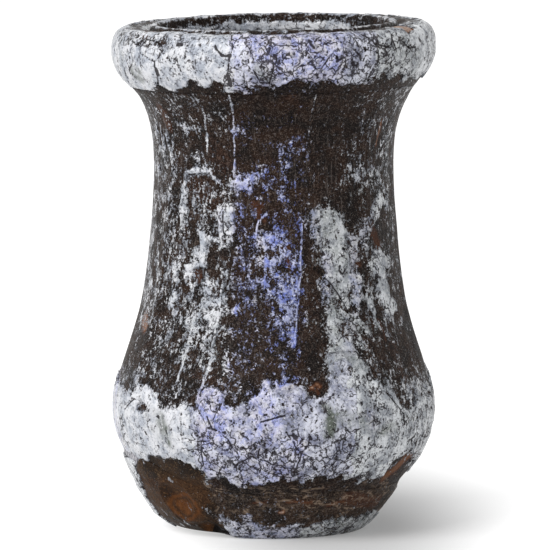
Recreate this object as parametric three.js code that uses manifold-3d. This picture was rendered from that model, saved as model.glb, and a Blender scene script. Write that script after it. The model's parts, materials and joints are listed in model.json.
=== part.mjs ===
// A small waisted glass jar with a thick rolled rim, in millimetres, +Z up, standing on z = 0.
// Three gathers of hot-worked glass (wall, rim roll, foot pad) carry loose plates of weathering crust.
// Angles are in degrees round the jar: 0 is the front (-Y) and 90 is the right side (+X).
import * as THREE from 'three';
import Module from 'manifold-3d';
import { mergeVertices } from 'three/addons/utils/BufferGeometryUtils.js';

// Glass wall
const bellyRadius = 24.9;
const bellyHeight = 19.7;
const bellyWall = 3.0;
const waistRadius = 20.6;
const waistHeight = 37.2;
const waistSlope = 0.15; // how fast the waist narrows upwards there
const neckRadius = 18.8;
const neckHeight = 57.5;
const neckWall = 2.8;
const collarHeight = 69.8; // the flared shelf that carries the rim roll
const collarReach = 3.0; // the shelf stands out this far from the lip
const collarRise = 1.3; // and climbs this much towards it
const lipWall = 1.4;
const lipRise = 0.6; // the lip stands this far above the roll
const lipShoulder = 1.1; // how far below its crest the lip is still rounded
const keelRadius = 18.9; // where the belly turns under, on to the foot pad
const keelHeight = 6.6;
const bulbBottom = 4.4; // lowest point of the wall, inside the foot pad
const floorThickness = 4.0;
const floorKick = 0.8; // the floor is pushed up this much in the middle

// Tooled facets of the wall
const facetCount = 10;
const facetDepth = 0.35;
const firstRidge = -20;
const ridgeDrift = -8; // ridges wander this much from the collar down to the belly

// Rim roll
const rimOverBelly = 0.1; // the rim is as wide as the belly, and this much more
const rollWidth = 5.35;
const rollHeight = 9.2;
const rollBulge = 5.4; // height of its widest circle above the shelf
const crownReach = 1.9; // its crown lies this far out from the lip
const seamMouth = 0.9; // width of the fold line between lip and roll

// Foot pad
const padShift = 1.2; // the pad was stuck on this far to the left
const padRadius = 20.2;
const footRadius = 14.6; // outer radius of the resting face
const padTuck = 0.73; // near the bottom its side has drawn in by this share of the way to footRadius
const padSwell = 1.0; // under the smear its side swells out by about this much more
const pontilRadius = 9.0;
const pontilDepth = 1.1;
const padEdge = 0.25;
const smearHeight = 5.6; // the pad is smeared this far up the belly, on the left
const smearAngle = -90;
const smearSpread = 66;
const chipRadius = 2.6; // broken edge at the front left
const chipOffset = 1.1; // its middle lies this far outside the side of the pad
const chipAngle = -36;
const scarRadius = 7.5; // shallow shell-shaped flake scar beside the chip
const scarAngle = -46;
const scarDepth = 0.5;
const scarDrop = 1.0;

// Whole jar
const rimTilt = 1.07; // the rim stands higher on the right
const tiltReach = 9.8; // the lean starts this far below the shelf

// Clearances and crust
const seam = 0.25; // between two gathers of glass
const crustSeat = 0.3; // between glass and crust
const crustThickness = 0.3;
const crackWidth = 0.35; // between neighbouring plates
const mouthCrustDrop = 1.3; // the crust in the mouth starts this far below the lip
const mouthCrustHeight = 1.3;

// What follows from these
const rimRadius = bellyRadius + rimOverBelly;
const lipRadius = rimRadius - rollWidth - seam;
const mouthRadius = lipRadius - lipWall;
const collarRadius = lipRadius + collarReach;
const rollCrown = lipRadius + crownReach;
const rimHeight = collarHeight + rollBulge;
const rollTop = collarHeight + rollHeight;
const lipHeight = rollTop + lipRise;

// Fineness
const facetColumns = 5;
const turns = facetCount * facetColumns; // columns round the jar

const rad = THREE.MathUtils.degToRad;
const lerp = THREE.MathUtils.lerp;
const ease = THREE.MathUtils.smoothstep;

// Outlines in (radius, height)

function bezier(r0, z0, r1, z1, r2, z2, r3, z3) {
  const corner = (r, z) => new THREE.Vector2(r, z);
  return new THREE.CubicBezierCurve(corner(r0, z0), corner(r1, z1), corner(r2, z2), corner(r3, z3));
}

// Outside of the wall from the keel up: belly turning under, shoulder, neck, flare.
const shoulderPull = (waistHeight - bellyHeight) * 0.31;
const neckPull = (neckHeight - waistHeight) * 0.3;
const underBelly = bezier(
  keelRadius, keelHeight,
  lerp(keelRadius, bellyRadius, 0.667), lerp(keelHeight, bellyHeight, 0.336),
  bellyRadius, lerp(bellyHeight, keelHeight, 0.4),
  bellyRadius, bellyHeight,
);
const shoulder = bezier(
  bellyRadius, bellyHeight,
  bellyRadius, lerp(bellyHeight, waistHeight, 0.28),
  waistRadius + waistSlope * shoulderPull, waistHeight - shoulderPull,
  waistRadius, waistHeight,
);
const neck = bezier(
  waistRadius, waistHeight,
  waistRadius - waistSlope * neckPull, waistHeight + neckPull,
  neckRadius, lerp(neckHeight, waistHeight, 0.37),
  neckRadius, neckHeight,
);
const flare = bezier(
  neckRadius, neckHeight,
  neckRadius, lerp(neckHeight, collarHeight, 0.57),
  lerp(collarRadius, neckRadius, 0.46), lerp(collarHeight, neckHeight, 0.16),
  collarRadius, collarHeight,
);
const bulbUnderside = bezier(
  0, bulbBottom,
  keelRadius * 0.45, bulbBottom,
  keelRadius * 0.85, lerp(bulbBottom, keelHeight, 0.45),
  keelRadius, keelHeight,
);

// Crown, bulge and underside of the rim roll, from the fold line outwards and down.
const rollCrest = bezier(
  rollCrown, rollTop,
  lerp(rollCrown, rimRadius, 0.78), rollTop,
  rimRadius, lerp(rollTop, rimHeight, 0.26),
  rimRadius, rimHeight,
);
const rollBelly = bezier(
  rimRadius, rimHeight,
  rimRadius, lerp(rimHeight, collarHeight, 0.4),
  lerp(collarRadius, rimRadius, 0.4), lerp(collarHeight, rimHeight, 0.26),
  collarRadius, collarHeight + seam,
);

function outlineAtHeight(height) {
  let curve = underBelly;
  if (height > bellyHeight) curve = shoulder;
  if (height > waistHeight) curve = neck;
  if (height > neckHeight) curve = flare;
  let low = 0;
  let high = 1;
  for (let step = 0; step < 24; step++) {
    const middle = (low + high) / 2;
    if (curve.getPoint(middle).y < height) low = middle;
    else high = middle;
  }
  const tangent = curve.getTangent(low);
  return { point: curve.getPoint(low), normal: new THREE.Vector2(tangent.y, -tangent.x) };
}

// How strongly the facets show at a height, and where the ridges stand there.
function facetShare(height) {
  const aboveBelly = ease(height, lerp(keelHeight, bellyHeight, 0.6), lerp(bellyHeight, neckHeight, 0.25));
  return aboveBelly * (1 - ease(height, lerp(neckHeight, collarHeight, 0.75), collarHeight));
}

function ridgeOffset(height) {
  const down = THREE.MathUtils.clamp((collarHeight - height) / (collarHeight - bellyHeight), 0, 1);
  return firstRidge + ridgeDrift * down;
}

// How far the face between two ridges is sunk, in mm.
function facetSink(angle, height) {
  const pitch = 360 / facetCount;
  const place = (angle - ridgeOffset(height)) / pitch;
  const across = 2 * (place - Math.floor(place)) - 1;
  return facetDepth * facetShare(height) * (1 - across * across);
}

// A point of the jar from cylindrical values, with the lean of the rim.
function jarPoint(angle, radius, height) {
  const x = radius * Math.sin(rad(angle));
  const y = -radius * Math.cos(rad(angle));
  const lean = Math.tan(rad(rimTilt)) * ease(height, collarHeight - tiltReach, rimHeight);
  return new THREE.Vector3(x, y, height + x * lean);
}

// Closed surface through rings of points. A ring of one point is a pole.
function skin(rings, closesOnItself = false) {
  const starts = [];
  const positions = [];
  for (const ring of rings) {
    starts.push(positions.length / 3);
    for (const point of ring) positions.push(point.x, point.y, point.z);
  }
  const indices = [];
  const last = closesOnItself ? rings.length : rings.length - 1;
  for (let i = 0; i < last; i++) {
    const next = (i + 1) % rings.length;
    const lower = (j) => starts[i] + (j % rings[i].length);
    const upper = (j) => starts[next] + (j % rings[next].length);
    for (let j = 0; j < turns; j++) {
      if (rings[i].length > 1) indices.push(lower(j), lower(j + 1), upper(j + 1));
      if (rings[next].length > 1) indices.push(lower(j), upper(j + 1), upper(j));
    }
  }
  const geometry = new THREE.BufferGeometry();
  geometry.setAttribute('position', new THREE.Float32BufferAttribute(positions, 3));
  geometry.setIndex(indices);
  geometry.computeVertexNormals();
  return geometry;
}

function samples(curve, count) {
  return curve.getPoints(count).slice(1);
}

// Wall: underside, belly, shoulder, neck, flare, shelf, lip, bore and floor.
function wallGeometry() {
  const lipFoot = collarHeight + collarRise;
  const lip = bezier(
    lipRadius, lipHeight - lipShoulder,
    lipRadius, lipHeight,
    mouthRadius, lipHeight,
    mouthRadius, lipHeight - lipShoulder,
  );
  const neckBore = neckRadius - neckWall;
  const bellyBore = bellyRadius - bellyWall;
  const floorHeight = bulbBottom + floorThickness;
  const throat = bezier(
    mouthRadius, lipHeight - lipShoulder,
    lerp(mouthRadius, neckBore, 0.35), lerp(lipHeight, neckHeight, 0.35),
    neckBore, lerp(lipHeight, neckHeight, 0.65),
    neckBore, neckHeight,
  );
  const innerWaist = bezier(
    neckBore, neckHeight,
    neckBore, lerp(neckHeight, bellyHeight, 0.54),
    bellyBore, lerp(bellyHeight, neckHeight, 0.08),
    bellyBore, bellyHeight,
  );
  const floor = bezier(
    bellyBore, bellyHeight,
    bellyBore, lerp(bellyHeight, floorHeight, 0.85),
    bellyBore * 0.55, floorHeight,
    bellyBore * 0.3, floorHeight + floorKick * 0.6,
  );
  const outside = [
    ...samples(bulbUnderside, 4),
    ...samples(underBelly, 5),
    ...samples(shoulder, 6),
    ...samples(neck, 5),
    ...samples(flare, 5),
    new THREE.Vector2(collarRadius - seam, collarHeight + seam),
    new THREE.Vector2(lipRadius, lipFoot),
  ];
  const inside = [
    new THREE.Vector2(lipRadius, lipHeight - lipShoulder),
    ...samples(lip, 4),
    ...samples(throat, 4),
    ...samples(innerWaist, 7),
    ...samples(floor, 6),
  ];
  const ring = (point, tooled) =>
    Array.from({ length: turns }, (_, j) => {
      const angle = (j * 360) / turns + ridgeOffset(point.y);
      const sink = tooled ? facetSink(angle, point.y) : 0;
      return jarPoint(angle, point.x - sink, point.y);
    });
  return skin([
    [new THREE.Vector3(0, 0, bulbBottom)],
    ...outside.map((point) => ring(point, true)),
    ...inside.map((point) => ring(point, false)),
    [new THREE.Vector3(0, 0, floorHeight + floorKick)],
  ]);
}

// Rim roll: a D-shaped coil that sits on the shelf, round the lip.
function rollGeometry() {
  const bore = lipRadius + seam;
  const shelf = collarHeight + collarRise + 2 * seam;
  const mouthOfSeam = bore + seamMouth;
  const section = [
    new THREE.Vector2(bore, shelf),
    new THREE.Vector2(collarRadius, collarHeight + 2.5 * seam),
    ...rollBelly.getPoints(5).reverse().slice(1),
    ...rollCrest.getPoints(7).reverse().slice(1),
    new THREE.Vector2(mouthOfSeam, rollTop - seam),
    new THREE.Vector2(bore, rollTop - lipShoulder),
  ];
  const ring = (point) =>
    Array.from({ length: turns }, (_, j) => jarPoint((j * 360) / turns, point.x, point.y));
  return skin(section.map(ring), true);
}

// Foot pad: its outline from the top edge down to the resting face, at an angle round the wall.
function smearShare(angle) {
  const away = Math.abs(THREE.MathUtils.euclideanModulo(angle - smearAngle + 180, 360) - 180);
  return 1 - ease(away, smearSpread * 0.25, smearSpread);
}

function shiftedRadius(angle, radius) {
  const along = -padShift * Math.sin(rad(angle));
  return along + Math.sqrt(along * along - padShift * padShift + radius * radius);
}

function padFlank(angle) {
  const smear = smearShare(angle);
  const top = outlineAtHeight(keelHeight + smearHeight * smear + 0.01);
  const reach = top.point.x + seam + padEdge;
  const swell = padSwell * smear;
  return bezier(
    reach, top.point.y - seam,
    Math.min(shiftedRadius(angle, padRadius - 0.7 + swell), reach - 0.5), keelHeight * lerp(0.68, 0.95, smear),
    shiftedRadius(angle, lerp(padRadius, footRadius, padTuck) + swell / 2), keelHeight * 0.05,
    shiftedRadius(angle, footRadius), 0,
  );
}

function padGeometry() {
  const rings = [];
  const angles = Array.from({ length: turns }, (_, j) => (j * 360) / turns);
  const ring = (place) => angles.map((angle) => {
    const point = place(angle);
    return jarPoint(angle, point.x, point.y);
  });
  const pontil = (share) => ring((angle) =>
    new THREE.Vector2(shiftedRadius(angle, pontilRadius) * share, pontilDepth * (1 - share * share)));
  rings.push([new THREE.Vector3(0, 0, pontilDepth)], pontil(0.5), pontil(1));
  for (let step = 8; step >= 0; step--) rings.push(ring((angle) => padFlank(angle).getPoint(step / 8)));
  for (let step = 3; step >= 0; step--) {
    rings.push(ring((angle) => {
      const height = keelHeight + 0.01 + (smearHeight * smearShare(angle) * step) / 3;
      const outline = outlineAtHeight(height);
      return new THREE.Vector2(outline.point.x + seam, outline.point.y - seam);
    }));
  }
  for (const share of [0.85, 0.6, 0.3]) {
    const under = bulbUnderside.getPoint(share);
    rings.push(ring(() => new THREE.Vector2(under.x, under.y - seam)));
  }
  rings.push([new THREE.Vector3(0, 0, bulbBottom - seam)]);
  return skin(rings);
}

// Boolean work: the chip and the shell-shaped scar are broken out of the pad.
const wasm = await Module();
wasm.setup();

function toSolid(geometry) {
  const bare = geometry.index ? geometry.toNonIndexed() : geometry.clone();
  bare.deleteAttribute('normal');
  bare.deleteAttribute('uv');
  const merged = mergeVertices(bare, 1e-4);
  return new wasm.Manifold(new wasm.Mesh({
    numProp: 3,
    vertProperties: merged.attributes.position.array,
    triVerts: new Uint32Array(merged.index.array),
  }));
}

function toGeometry(solid) {
  const mesh = solid.getMesh();
  const geometry = new THREE.BufferGeometry();
  geometry.setAttribute('position', new THREE.BufferAttribute(mesh.vertProperties, 3));
  geometry.setIndex(new THREE.BufferAttribute(mesh.triVerts, 1));
  geometry.computeVertexNormals();
  return geometry;
}

function brokenPad() {
  const chip = new THREE.SphereGeometry(chipRadius, 14, 9);
  const lowSide = padFlank(chipAngle).getPoint(0.7);
  chip.translate(...jarPoint(chipAngle, lowSide.x + chipOffset, 0).toArray());
  const scar = new THREE.SphereGeometry(scarRadius, 32, 20);
  const face = padFlank(scarAngle).getPoint(0.42);
  scar.translate(...jarPoint(scarAngle, face.x + scarRadius - scarDepth, face.y - scarDrop).toArray());
  return toGeometry(toSolid(padGeometry()).subtract(toSolid(chip)).subtract(toSolid(scar)));
}

// Crust carriers: a point on the glass at (angle, place), lifted off it by some mm.

// place runs from -1 at the keel through 0 at the belly's widest circle to 1 at the collar
function wallHeight(place) {
  return place < 0 ? lerp(bellyHeight, keelHeight, -place) : lerp(bellyHeight, collarHeight, place);
}

function onWall(angle, place, lift) {
  const height = wallHeight(place);
  const { point, normal } = outlineAtHeight(height);
  const radius = point.x - facetSink(angle, height) + normal.x * lift;
  return jarPoint(angle, radius, point.y + normal.y * lift);
}

// place runs from 0 at the crown of the roll to 1 at its underside
function onRoll(angle, place, lift) {
  const curve = place < 0.5 ? rollCrest : rollBelly;
  const t = place < 0.5 ? place * 2 : place * 2 - 1;
  const point = curve.getPoint(t);
  const tangent = curve.getTangent(t);
  return jarPoint(angle, point.x - tangent.y * lift, point.y + tangent.x * lift);
}

// place runs from 0 at the resting edge of the pad to 1 at its top edge
function onPad(angle, place, lift) {
  const flank = padFlank(angle);
  const point = flank.getPoint(1 - place);
  const tangent = flank.getTangent(1 - place);
  return jarPoint(angle, point.x - tangent.y * lift, point.y + tangent.x * lift);
}

// place is a height on the bore just below the lip, so the crust is lifted towards the axis
function onMouth(angle, height, lift) {
  const slope = (lipHeight - height) / (lipHeight - neckHeight);
  return jarPoint(angle, lerp(mouthRadius, neckRadius - neckWall, slope * slope) - lift, height);
}

// A plate of crust: two sheets that meet in a feather edge. spot(u, v) gives its [angle, place].
function plateGeometry(carrier, spot, columns, rows) {
  const positions = [];
  const indices = [];
  const number = new Map();
  const vertex = (i, j, outer) => {
    const edge = i === 0 || j === 0 || i === columns || j === rows;
    const key = `${i},${j},${edge || outer}`;
    if (!number.has(key)) {
      const [angle, place] = spot(i / columns, j / rows);
      const lift = crustSeat + crustThickness * (edge ? 0.5 : outer ? 1 : 0);
      number.set(key, positions.length / 3);
      positions.push(...carrier(angle, place, lift).toArray());
    }
    return number.get(key);
  };
  const quad = (i, j, outer) => {
    const corners = [[i, j], [i + 1, j], [i + 1, j + 1], [i, j + 1]].map(([a, b]) => vertex(a, b, outer));
    const [a, b, c, d] = outer ? corners : corners.reverse();
    indices.push(a, b, c, a, c, d);
  };
  for (let i = 0; i < columns; i++) {
    for (let j = 0; j < rows; j++) {
      quad(i, j, true);
      quad(i, j, false);
    }
  }
  const geometry = new THREE.BufferGeometry();
  geometry.setAttribute('position', new THREE.Float32BufferAttribute(positions, 3));
  geometry.setIndex(indices);
  geometry.computeVertexNormals();
  return geometry;
}

// Value of a line through [angle, value] points at an angle.
function along(points, angle) {
  const after = points.findIndex(([at]) => at > angle);
  if (after === -1) return points[points.length - 1][1];
  if (after === 0) return points[0][1];
  const [a0, v0] = points[after - 1];
  const [a1, v1] = points[after];
  return lerp(v0, v1, ease(angle, a0, a1));
}

const glassDark = new THREE.MeshStandardMaterial({ color: 0x3a302c, roughness: 0.45, metalness: 0 });
const glassRim = new THREE.MeshStandardMaterial({ color: 0x463a35, roughness: 0.45, metalness: 0 });
const glassFoot = new THREE.MeshStandardMaterial({ color: 0x4e3526, roughness: 0.5, metalness: 0 });
const crustWhite = new THREE.MeshStandardMaterial({ color: 0xc3c5cb, roughness: 0.4, metalness: 0 });
const crustViolet = new THREE.MeshStandardMaterial({ color: 0x9c9fc4, roughness: 0.35, metalness: 0 });
const crustGrey = new THREE.MeshStandardMaterial({ color: 0x9a9da0, roughness: 0.45, metalness: 0 });

const jar = new THREE.Group();

function add(name, geometry, material) {
  const mesh = new THREE.Mesh(geometry, material);
  mesh.name = name;
  jar.add(mesh);
}

add('glass_wall', wallGeometry(), glassDark);
add('rim_roll', rollGeometry(), glassRim);
add('foot_pad', brokenPad(), glassFoot);

// Plates of one band of crust, between a lower and an upper edge.
// Each crack is [bottom angle, top angle, material of the plate to its right].
function addBand(name, carrier, cracks, low, high, radius, rows) {
  const gap = THREE.MathUtils.radToDeg(crackWidth / radius);
  cracks.forEach(([bottom, top, material], k) => {
    const wraps = k === cracks.length - 1;
    const [nextBottom, nextTop] = wraps ? [cracks[0][0] + 360, cracks[0][1] + 360] : cracks[k + 1];
    const spot = (u, v) => {
      const left = lerp(bottom, top, v) + gap / 2;
      const right = lerp(nextBottom, nextTop, v) - gap / 2;
      const angle = lerp(left, right, u);
      return [angle, lerp(low(angle), high(angle), v)];
    };
    const columns = Math.max(3, Math.round((Math.max(nextTop, nextBottom) - Math.min(top, bottom)) / 7));
    add(`${name}_${k + 1}`, plateGeometry(carrier, spot, columns, rows), material);
  });
}

// Rim: one ring of plates from the fold line over the roll.
const rimCracks = [
  [-132, -128, crustWhite], [-88, -92, crustWhite], [-46, -42, crustWhite], [-15, -14, crustViolet],
  [10, 13, crustViolet], [41, 37, crustGrey], [84, 88, crustGrey], [133, 128, crustGrey],
  [178, 182, crustWhite],
];
const rimLowEdge = [
  [-132, 0.93], [-100, 0.97], [-60, 0.99], [-44, 0.93], [-15, 0.9], [20, 0.92], [60, 0.88], [88, 0.95],
  [130, 0.9], [180, 0.96], [228, 0.93],
];
addBand('rim_crust', (angle, place, lift) => onRoll(angle, place, lift), rimCracks,
  (angle) => along(rimLowEdge, angle), () => 0.04, rimRadius, 7);

// Belly: plates from just above the foot pad to a ragged upper edge.
const bellyCracks = [
  [-150, -153, crustWhite], [-112, -110, crustWhite], [-70, -66, crustWhite], [-29, -28, crustViolet],
  [9, 7, crustViolet], [38, 21, crustGrey], [64, 62, crustGrey], [98, 101, crustGrey], [136, 132, crustWhite],
  [172, 170, crustWhite],
];
const bellyLowEdge = [
  [-150, -0.7], [-120, -0.4], [-90, -0.32], [-60, -0.43], [-30, -0.55], [-15, -0.73], [40, -0.76],
  [62, -0.55], [80, -0.66], [130, -0.78], [172, -0.66], [210, -0.7],
];
const bellyHighEdge = [
  [-150, 0.09], [-120, 0.14], [-80, 0.12], [-66, 0.07], [-48, 0.02], [-29, 0.02], [-14, 0.05], [4, 0.11],
  [20, 0.09], [24, 0.22], [40, 0.2], [50, 0.13], [64, 0.06], [90, 0.09], [125, 0.15], [150, 0.07],
  [172, 0.12], [210, 0.09],
];
addBand('belly_crust', onWall, bellyCracks,
  (angle) => along(bellyLowEdge, angle), (angle) => along(bellyHighEdge, angle), bellyRadius, 7);

// Foot: plates round the bottom edge of the pad, missing where it is broken.
const footPlates = [
  [-172, -128], [-126, -74], [-20, 14], [16, 58], [60, 104], [106, 150], [152, 186],
];
footPlates.forEach(([from, to], k) => {
  const rise = k === 1 ? 0.92 : 0.5;
  const gap = THREE.MathUtils.radToDeg(crackWidth / padRadius);
  const spot = (u, v) => [lerp(from, to - gap, u), lerp(0.25, rise, v)];
  const material = k === 2 ? crustViolet : crustGrey;
  add(`foot_crust_${k + 1}`, plateGeometry(onPad, spot, 6, k === 1 ? 6 : 3), material);
});

// Mouth: two arcs of crust left on the bore, just below the lip.
const mouthPlates = [[138, 206], [207, 240]];
mouthPlates.forEach(([from, to], k) => {
  const spot = (u, v) => [lerp(to, from, u), lipHeight - mouthCrustDrop - mouthCrustHeight * (1 - v)];
  add(`mouth_crust_${k + 1}`, plateGeometry(onMouth, spot, 7, 2), crustWhite);
});

// Waist: tongues of crust, each through rows of [place, left angle, right angle] from the bottom up.
const tongues = [
  ['neck_crust_left', crustWhite, [[0.78, -70, -67], [0.81, -71, -61], [0.84, -68, -58], [0.875, -64, -60]]],
  ['waist_crust_left', crustWhite,
    [[0.265, -28, -25], [0.355, -36, -24], [0.447, -40, -25], [0.508, -44, -29], [0.552, -45, -36]]],
  ['waist_crust_arch', crustWhite,
    [[0.555, -52, -49], [0.61, -54, -47], [0.674, -53, -45], [0.729, -49, -41], [0.761, -44, -41]]],
  ['waist_crust_shoulder', crustWhite,
    [[0.556, -23, -20], [0.581, -25, -17], [0.618, -26, -18], [0.646, -23, -20]]],
  ['waist_crust_blue', crustViolet,
    [[0.2, 4, 7], [0.27, 1, 10], [0.36, 0, 12], [0.45, -3, 12], [0.54, -5, 8], [0.59, -4, 5], [0.62, -2, 0]]],
  ['waist_crust_violet', crustViolet, [[0.682, -15, -13], [0.71, -17, -11], [0.741, -15, -12]]],
  ['waist_crust_streak', crustViolet, [[0.671, 6, 7], [0.732, 4, 8], [0.795, 4, 8], [0.858, 6, 7]]],
  ['waist_crust_right', crustGrey,
    [[0.25, 26, 34], [0.35, 25, 46], [0.44, 22, 50], [0.51, 20, 47], [0.56, 18, 37], [0.63, 17, 24]]],
  ['waist_crust_far_right', crustGrey,
    [[0.33, 54, 57], [0.4, 54, 67], [0.46, 57, 72], [0.55, 57, 75], [0.63, 61, 84], [0.8, 71, 79]]],
  ['waist_crust_back_left', crustWhite,
    [[0.23, -128, -124], [0.36, -134, -112], [0.52, -130, -116], [0.64, -126, -122]]],
  ['waist_crust_back', crustWhite,
    [[0.33, 168, 174], [0.46, 160, 186], [0.6, 164, 182], [0.7, 167, 178], [0.76, 170, 175]]],
  ['waist_crust_back_right', crustGrey,
    [[0.21, 120, 124], [0.32, 112, 130], [0.44, 116, 134], [0.545, 122, 127]]],
];
for (const [name, material, rows] of tongues) {
  const spot = (u, v) => {
    const share = v * (rows.length - 1);
    const k = Math.min(Math.floor(share), rows.length - 2);
    const [place, left, right] = rows[k].map((value, n) => lerp(value, rows[k + 1][n], share - k));
    return [lerp(left, right, u), place];
  };
  add(name, plateGeometry(onWall, spot, 4, (rows.length - 1) * 2), material);
}

export default jar;
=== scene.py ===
# A small waisted glass jar: dark hot-worked glass under a pale crust that flakes off in plates.
# Lengths are in millimetres until a mesh is made, and angles are degrees round the jar:
# 0 is the front (-Y) and 90 is the right side (+X).
import json
import math

import bpy
import numpy as np
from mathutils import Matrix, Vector


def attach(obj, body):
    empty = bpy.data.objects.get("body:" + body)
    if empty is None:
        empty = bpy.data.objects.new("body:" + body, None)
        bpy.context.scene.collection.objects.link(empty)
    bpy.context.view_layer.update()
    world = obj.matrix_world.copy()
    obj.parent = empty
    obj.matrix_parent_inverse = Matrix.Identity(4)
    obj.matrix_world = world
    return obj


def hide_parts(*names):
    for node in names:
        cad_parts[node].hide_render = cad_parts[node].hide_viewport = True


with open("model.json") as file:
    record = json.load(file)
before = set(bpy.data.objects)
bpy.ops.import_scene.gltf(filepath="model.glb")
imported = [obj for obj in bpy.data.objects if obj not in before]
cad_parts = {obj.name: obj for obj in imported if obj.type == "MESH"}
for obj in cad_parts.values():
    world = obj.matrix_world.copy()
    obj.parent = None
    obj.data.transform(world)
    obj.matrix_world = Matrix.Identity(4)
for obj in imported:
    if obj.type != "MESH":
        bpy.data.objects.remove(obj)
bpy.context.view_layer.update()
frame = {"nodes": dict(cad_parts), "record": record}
mm = 0.001
print("frame loaded:", len(frame["nodes"]), "nodes")


# Camera, lamps and floor

studio = {
    "aim": (0.2, 0.0, 39.65),  # the camera looks at this point
    "distance": 1270.0,
    "elevation": 6.0,
    "lens": 530.4,
    "seenFrom": 10.0,  # nothing nearer than this is drawn
    "seenTo": 20000.0,
    "keyPlace": (-640.0, -640.0, 860.0),
    "keySize": 760.0,
    "keyPower": 11.0,
    "fillPlace": (900.0, -600.0, 300.0),
    "fillSize": 700.0,
    "fillPower": 1.6,
    "ambient": 0.37,
    "floorSize": 4000.0,
    "floorWhite": 0.86,
    "floorSeen": 0.5,  # the floor's own white where the camera sees it, dimmed so that its real shadow shows weaker, under a glow that makes up for it
    "shadowHeart": (10.0, 2.0, 0.0),  # the glow is weakest round this place: a painted shadow on the floor
    "shadowDepth": 0.28,  # distances towards the back count this much in the painted shadow
    "floorLift": 0.2,  # the glow at the heart, inside the painted shadow
    "farLift": 0.85,  # the glow away from it, outside the painted shadow
    "farFrom": 6.0,  # it grows between these two distances: the painted shadow's soft edge
    "farTo": 34.0,
}


def metres(place):
    return tuple(value * mm for value in place)


def pointAt(thing, target):
    away = Vector(target) - thing.location
    thing.rotation_euler = away.to_track_quat("-Z", "Y").to_euler()


def makeCamera():
    camera = bpy.data.objects.new("camera", bpy.data.cameras.new("camera"))
    bpy.context.scene.collection.objects.link(camera)
    rise = math.radians(studio["elevation"])
    aim = studio["aim"]
    away = studio["distance"]
    camera.location = metres((aim[0], -away * math.cos(rise), aim[2] + away * math.sin(rise)))
    pointAt(camera, metres(aim))
    camera.data.lens = studio["lens"]
    camera.data.clip_start = studio["seenFrom"] * mm
    camera.data.clip_end = studio["seenTo"] * mm
    bpy.context.scene.camera = camera


def makeLamp(name, place, size, power):
    lamp = bpy.data.objects.new(name, bpy.data.lights.new(name, "AREA"))
    bpy.context.scene.collection.objects.link(lamp)
    lamp.location = metres(place)
    lamp.data.size = size * mm
    lamp.data.energy = power
    pointAt(lamp, metres(studio["aim"]))


# Node helpers

def paint(red, green, blue):
    # a colour as a screen shows it, 0 to 255, made linear
    shares = [value / 255 for value in (red, green, blue)]
    return tuple(s / 12.92 if s < 0.04045 else ((s + 0.055) / 1.055) ** 2.4 for s in shares) + (1.0,)


def node(tree, kind, inputs=None, **settings):
    made = tree.nodes.new(kind)
    for name, value in settings.items():
        setattr(made, name, value)
    for name, value in (inputs or {}).items():
        if isinstance(value, bpy.types.NodeSocket):
            tree.links.new(value, made.inputs[name])
        else:
            made.inputs[name].default_value = value
    return made


def maths(tree, operation, first, second=0.0, clamp=False):
    made = node(tree, "ShaderNodeMath", {0: first, 1: second}, operation=operation, use_clamp=clamp)
    return made.outputs[0]


def times(tree, first, second, clamp=False):
    return maths(tree, "MULTIPLY", first, second, clamp)


def mixed(tree, share, first, second):
    # two colours mixed
    return node(tree, "ShaderNodeMix", {0: share, 6: first, 7: second}, data_type="RGBA").outputs[2]


def mixedValue(tree, share, first, second):
    return node(tree, "ShaderNodeMix", {0: share, 2: first, 3: second}, data_type="FLOAT").outputs[0]


def band(tree, value, low, high, bottom=0.0, top=1.0):
    # smooth step of a value between low and high
    made = node(tree, "ShaderNodeMapRange", interpolation_type="SMOOTHSTEP", inputs={
        "Value": value, "From Min": low, "From Max": high, "To Min": bottom, "To Max": top})
    return made.outputs[0]


def speckle(tree, vector, scale, detail=2.0, rough=0.5, warp=0.0):
    made = node(tree, "ShaderNodeTexNoise", {
        "Vector": vector, "Scale": scale, "Detail": detail, "Roughness": rough, "Distortion": warp})
    return made.outputs["Fac"]


def newGroup(name, inputs, outputs):
    group = bpy.data.node_groups.new(name, "ShaderNodeTree")
    for label, kind, start in inputs:
        socket = group.interface.new_socket(name=label, in_out="INPUT", socket_type=kind)
        if start is not None:
            socket.default_value = start
    for label, kind in outputs:
        group.interface.new_socket(name=label, in_out="OUTPUT", socket_type=kind)
    return group, group.nodes.new("NodeGroupInput").outputs, group.nodes.new("NodeGroupOutput").inputs


def layered(tree, colour, layers):
    # colours laid over each other: each shows by its strength where its value passes from low to high
    for value, low, high, strength, shade in layers:
        share = band(tree, value, low, high)
        if strength < 1:
            share = times(tree, share, strength)
        colour = mixed(tree, share, colour, shade)
    return colour


def seenWhite(tree):
    # 1 where the background itself is seen: by the camera, in a gloss or through glass
    path = node(tree, "ShaderNodeLightPath").outputs
    seen = maths(tree, "MAXIMUM", path["Is Camera Ray"], path["Is Glossy Ray"])
    return maths(tree, "MAXIMUM", seen, path["Is Transmission Ray"])


def makeWorld():
    world = bpy.data.worlds.new("studio")
    world.use_nodes = True
    tree = world.node_tree
    tree.nodes.clear()
    strength = mixedValue(tree, seenWhite(tree), studio["ambient"], 1.0)
    sky = node(tree, "ShaderNodeBackground", {"Color": (1, 1, 1, 1), "Strength": strength})
    out = node(tree, "ShaderNodeOutputWorld")
    tree.links.new(sky.outputs[0], out.inputs["Surface"])
    bpy.context.scene.world = world


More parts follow.
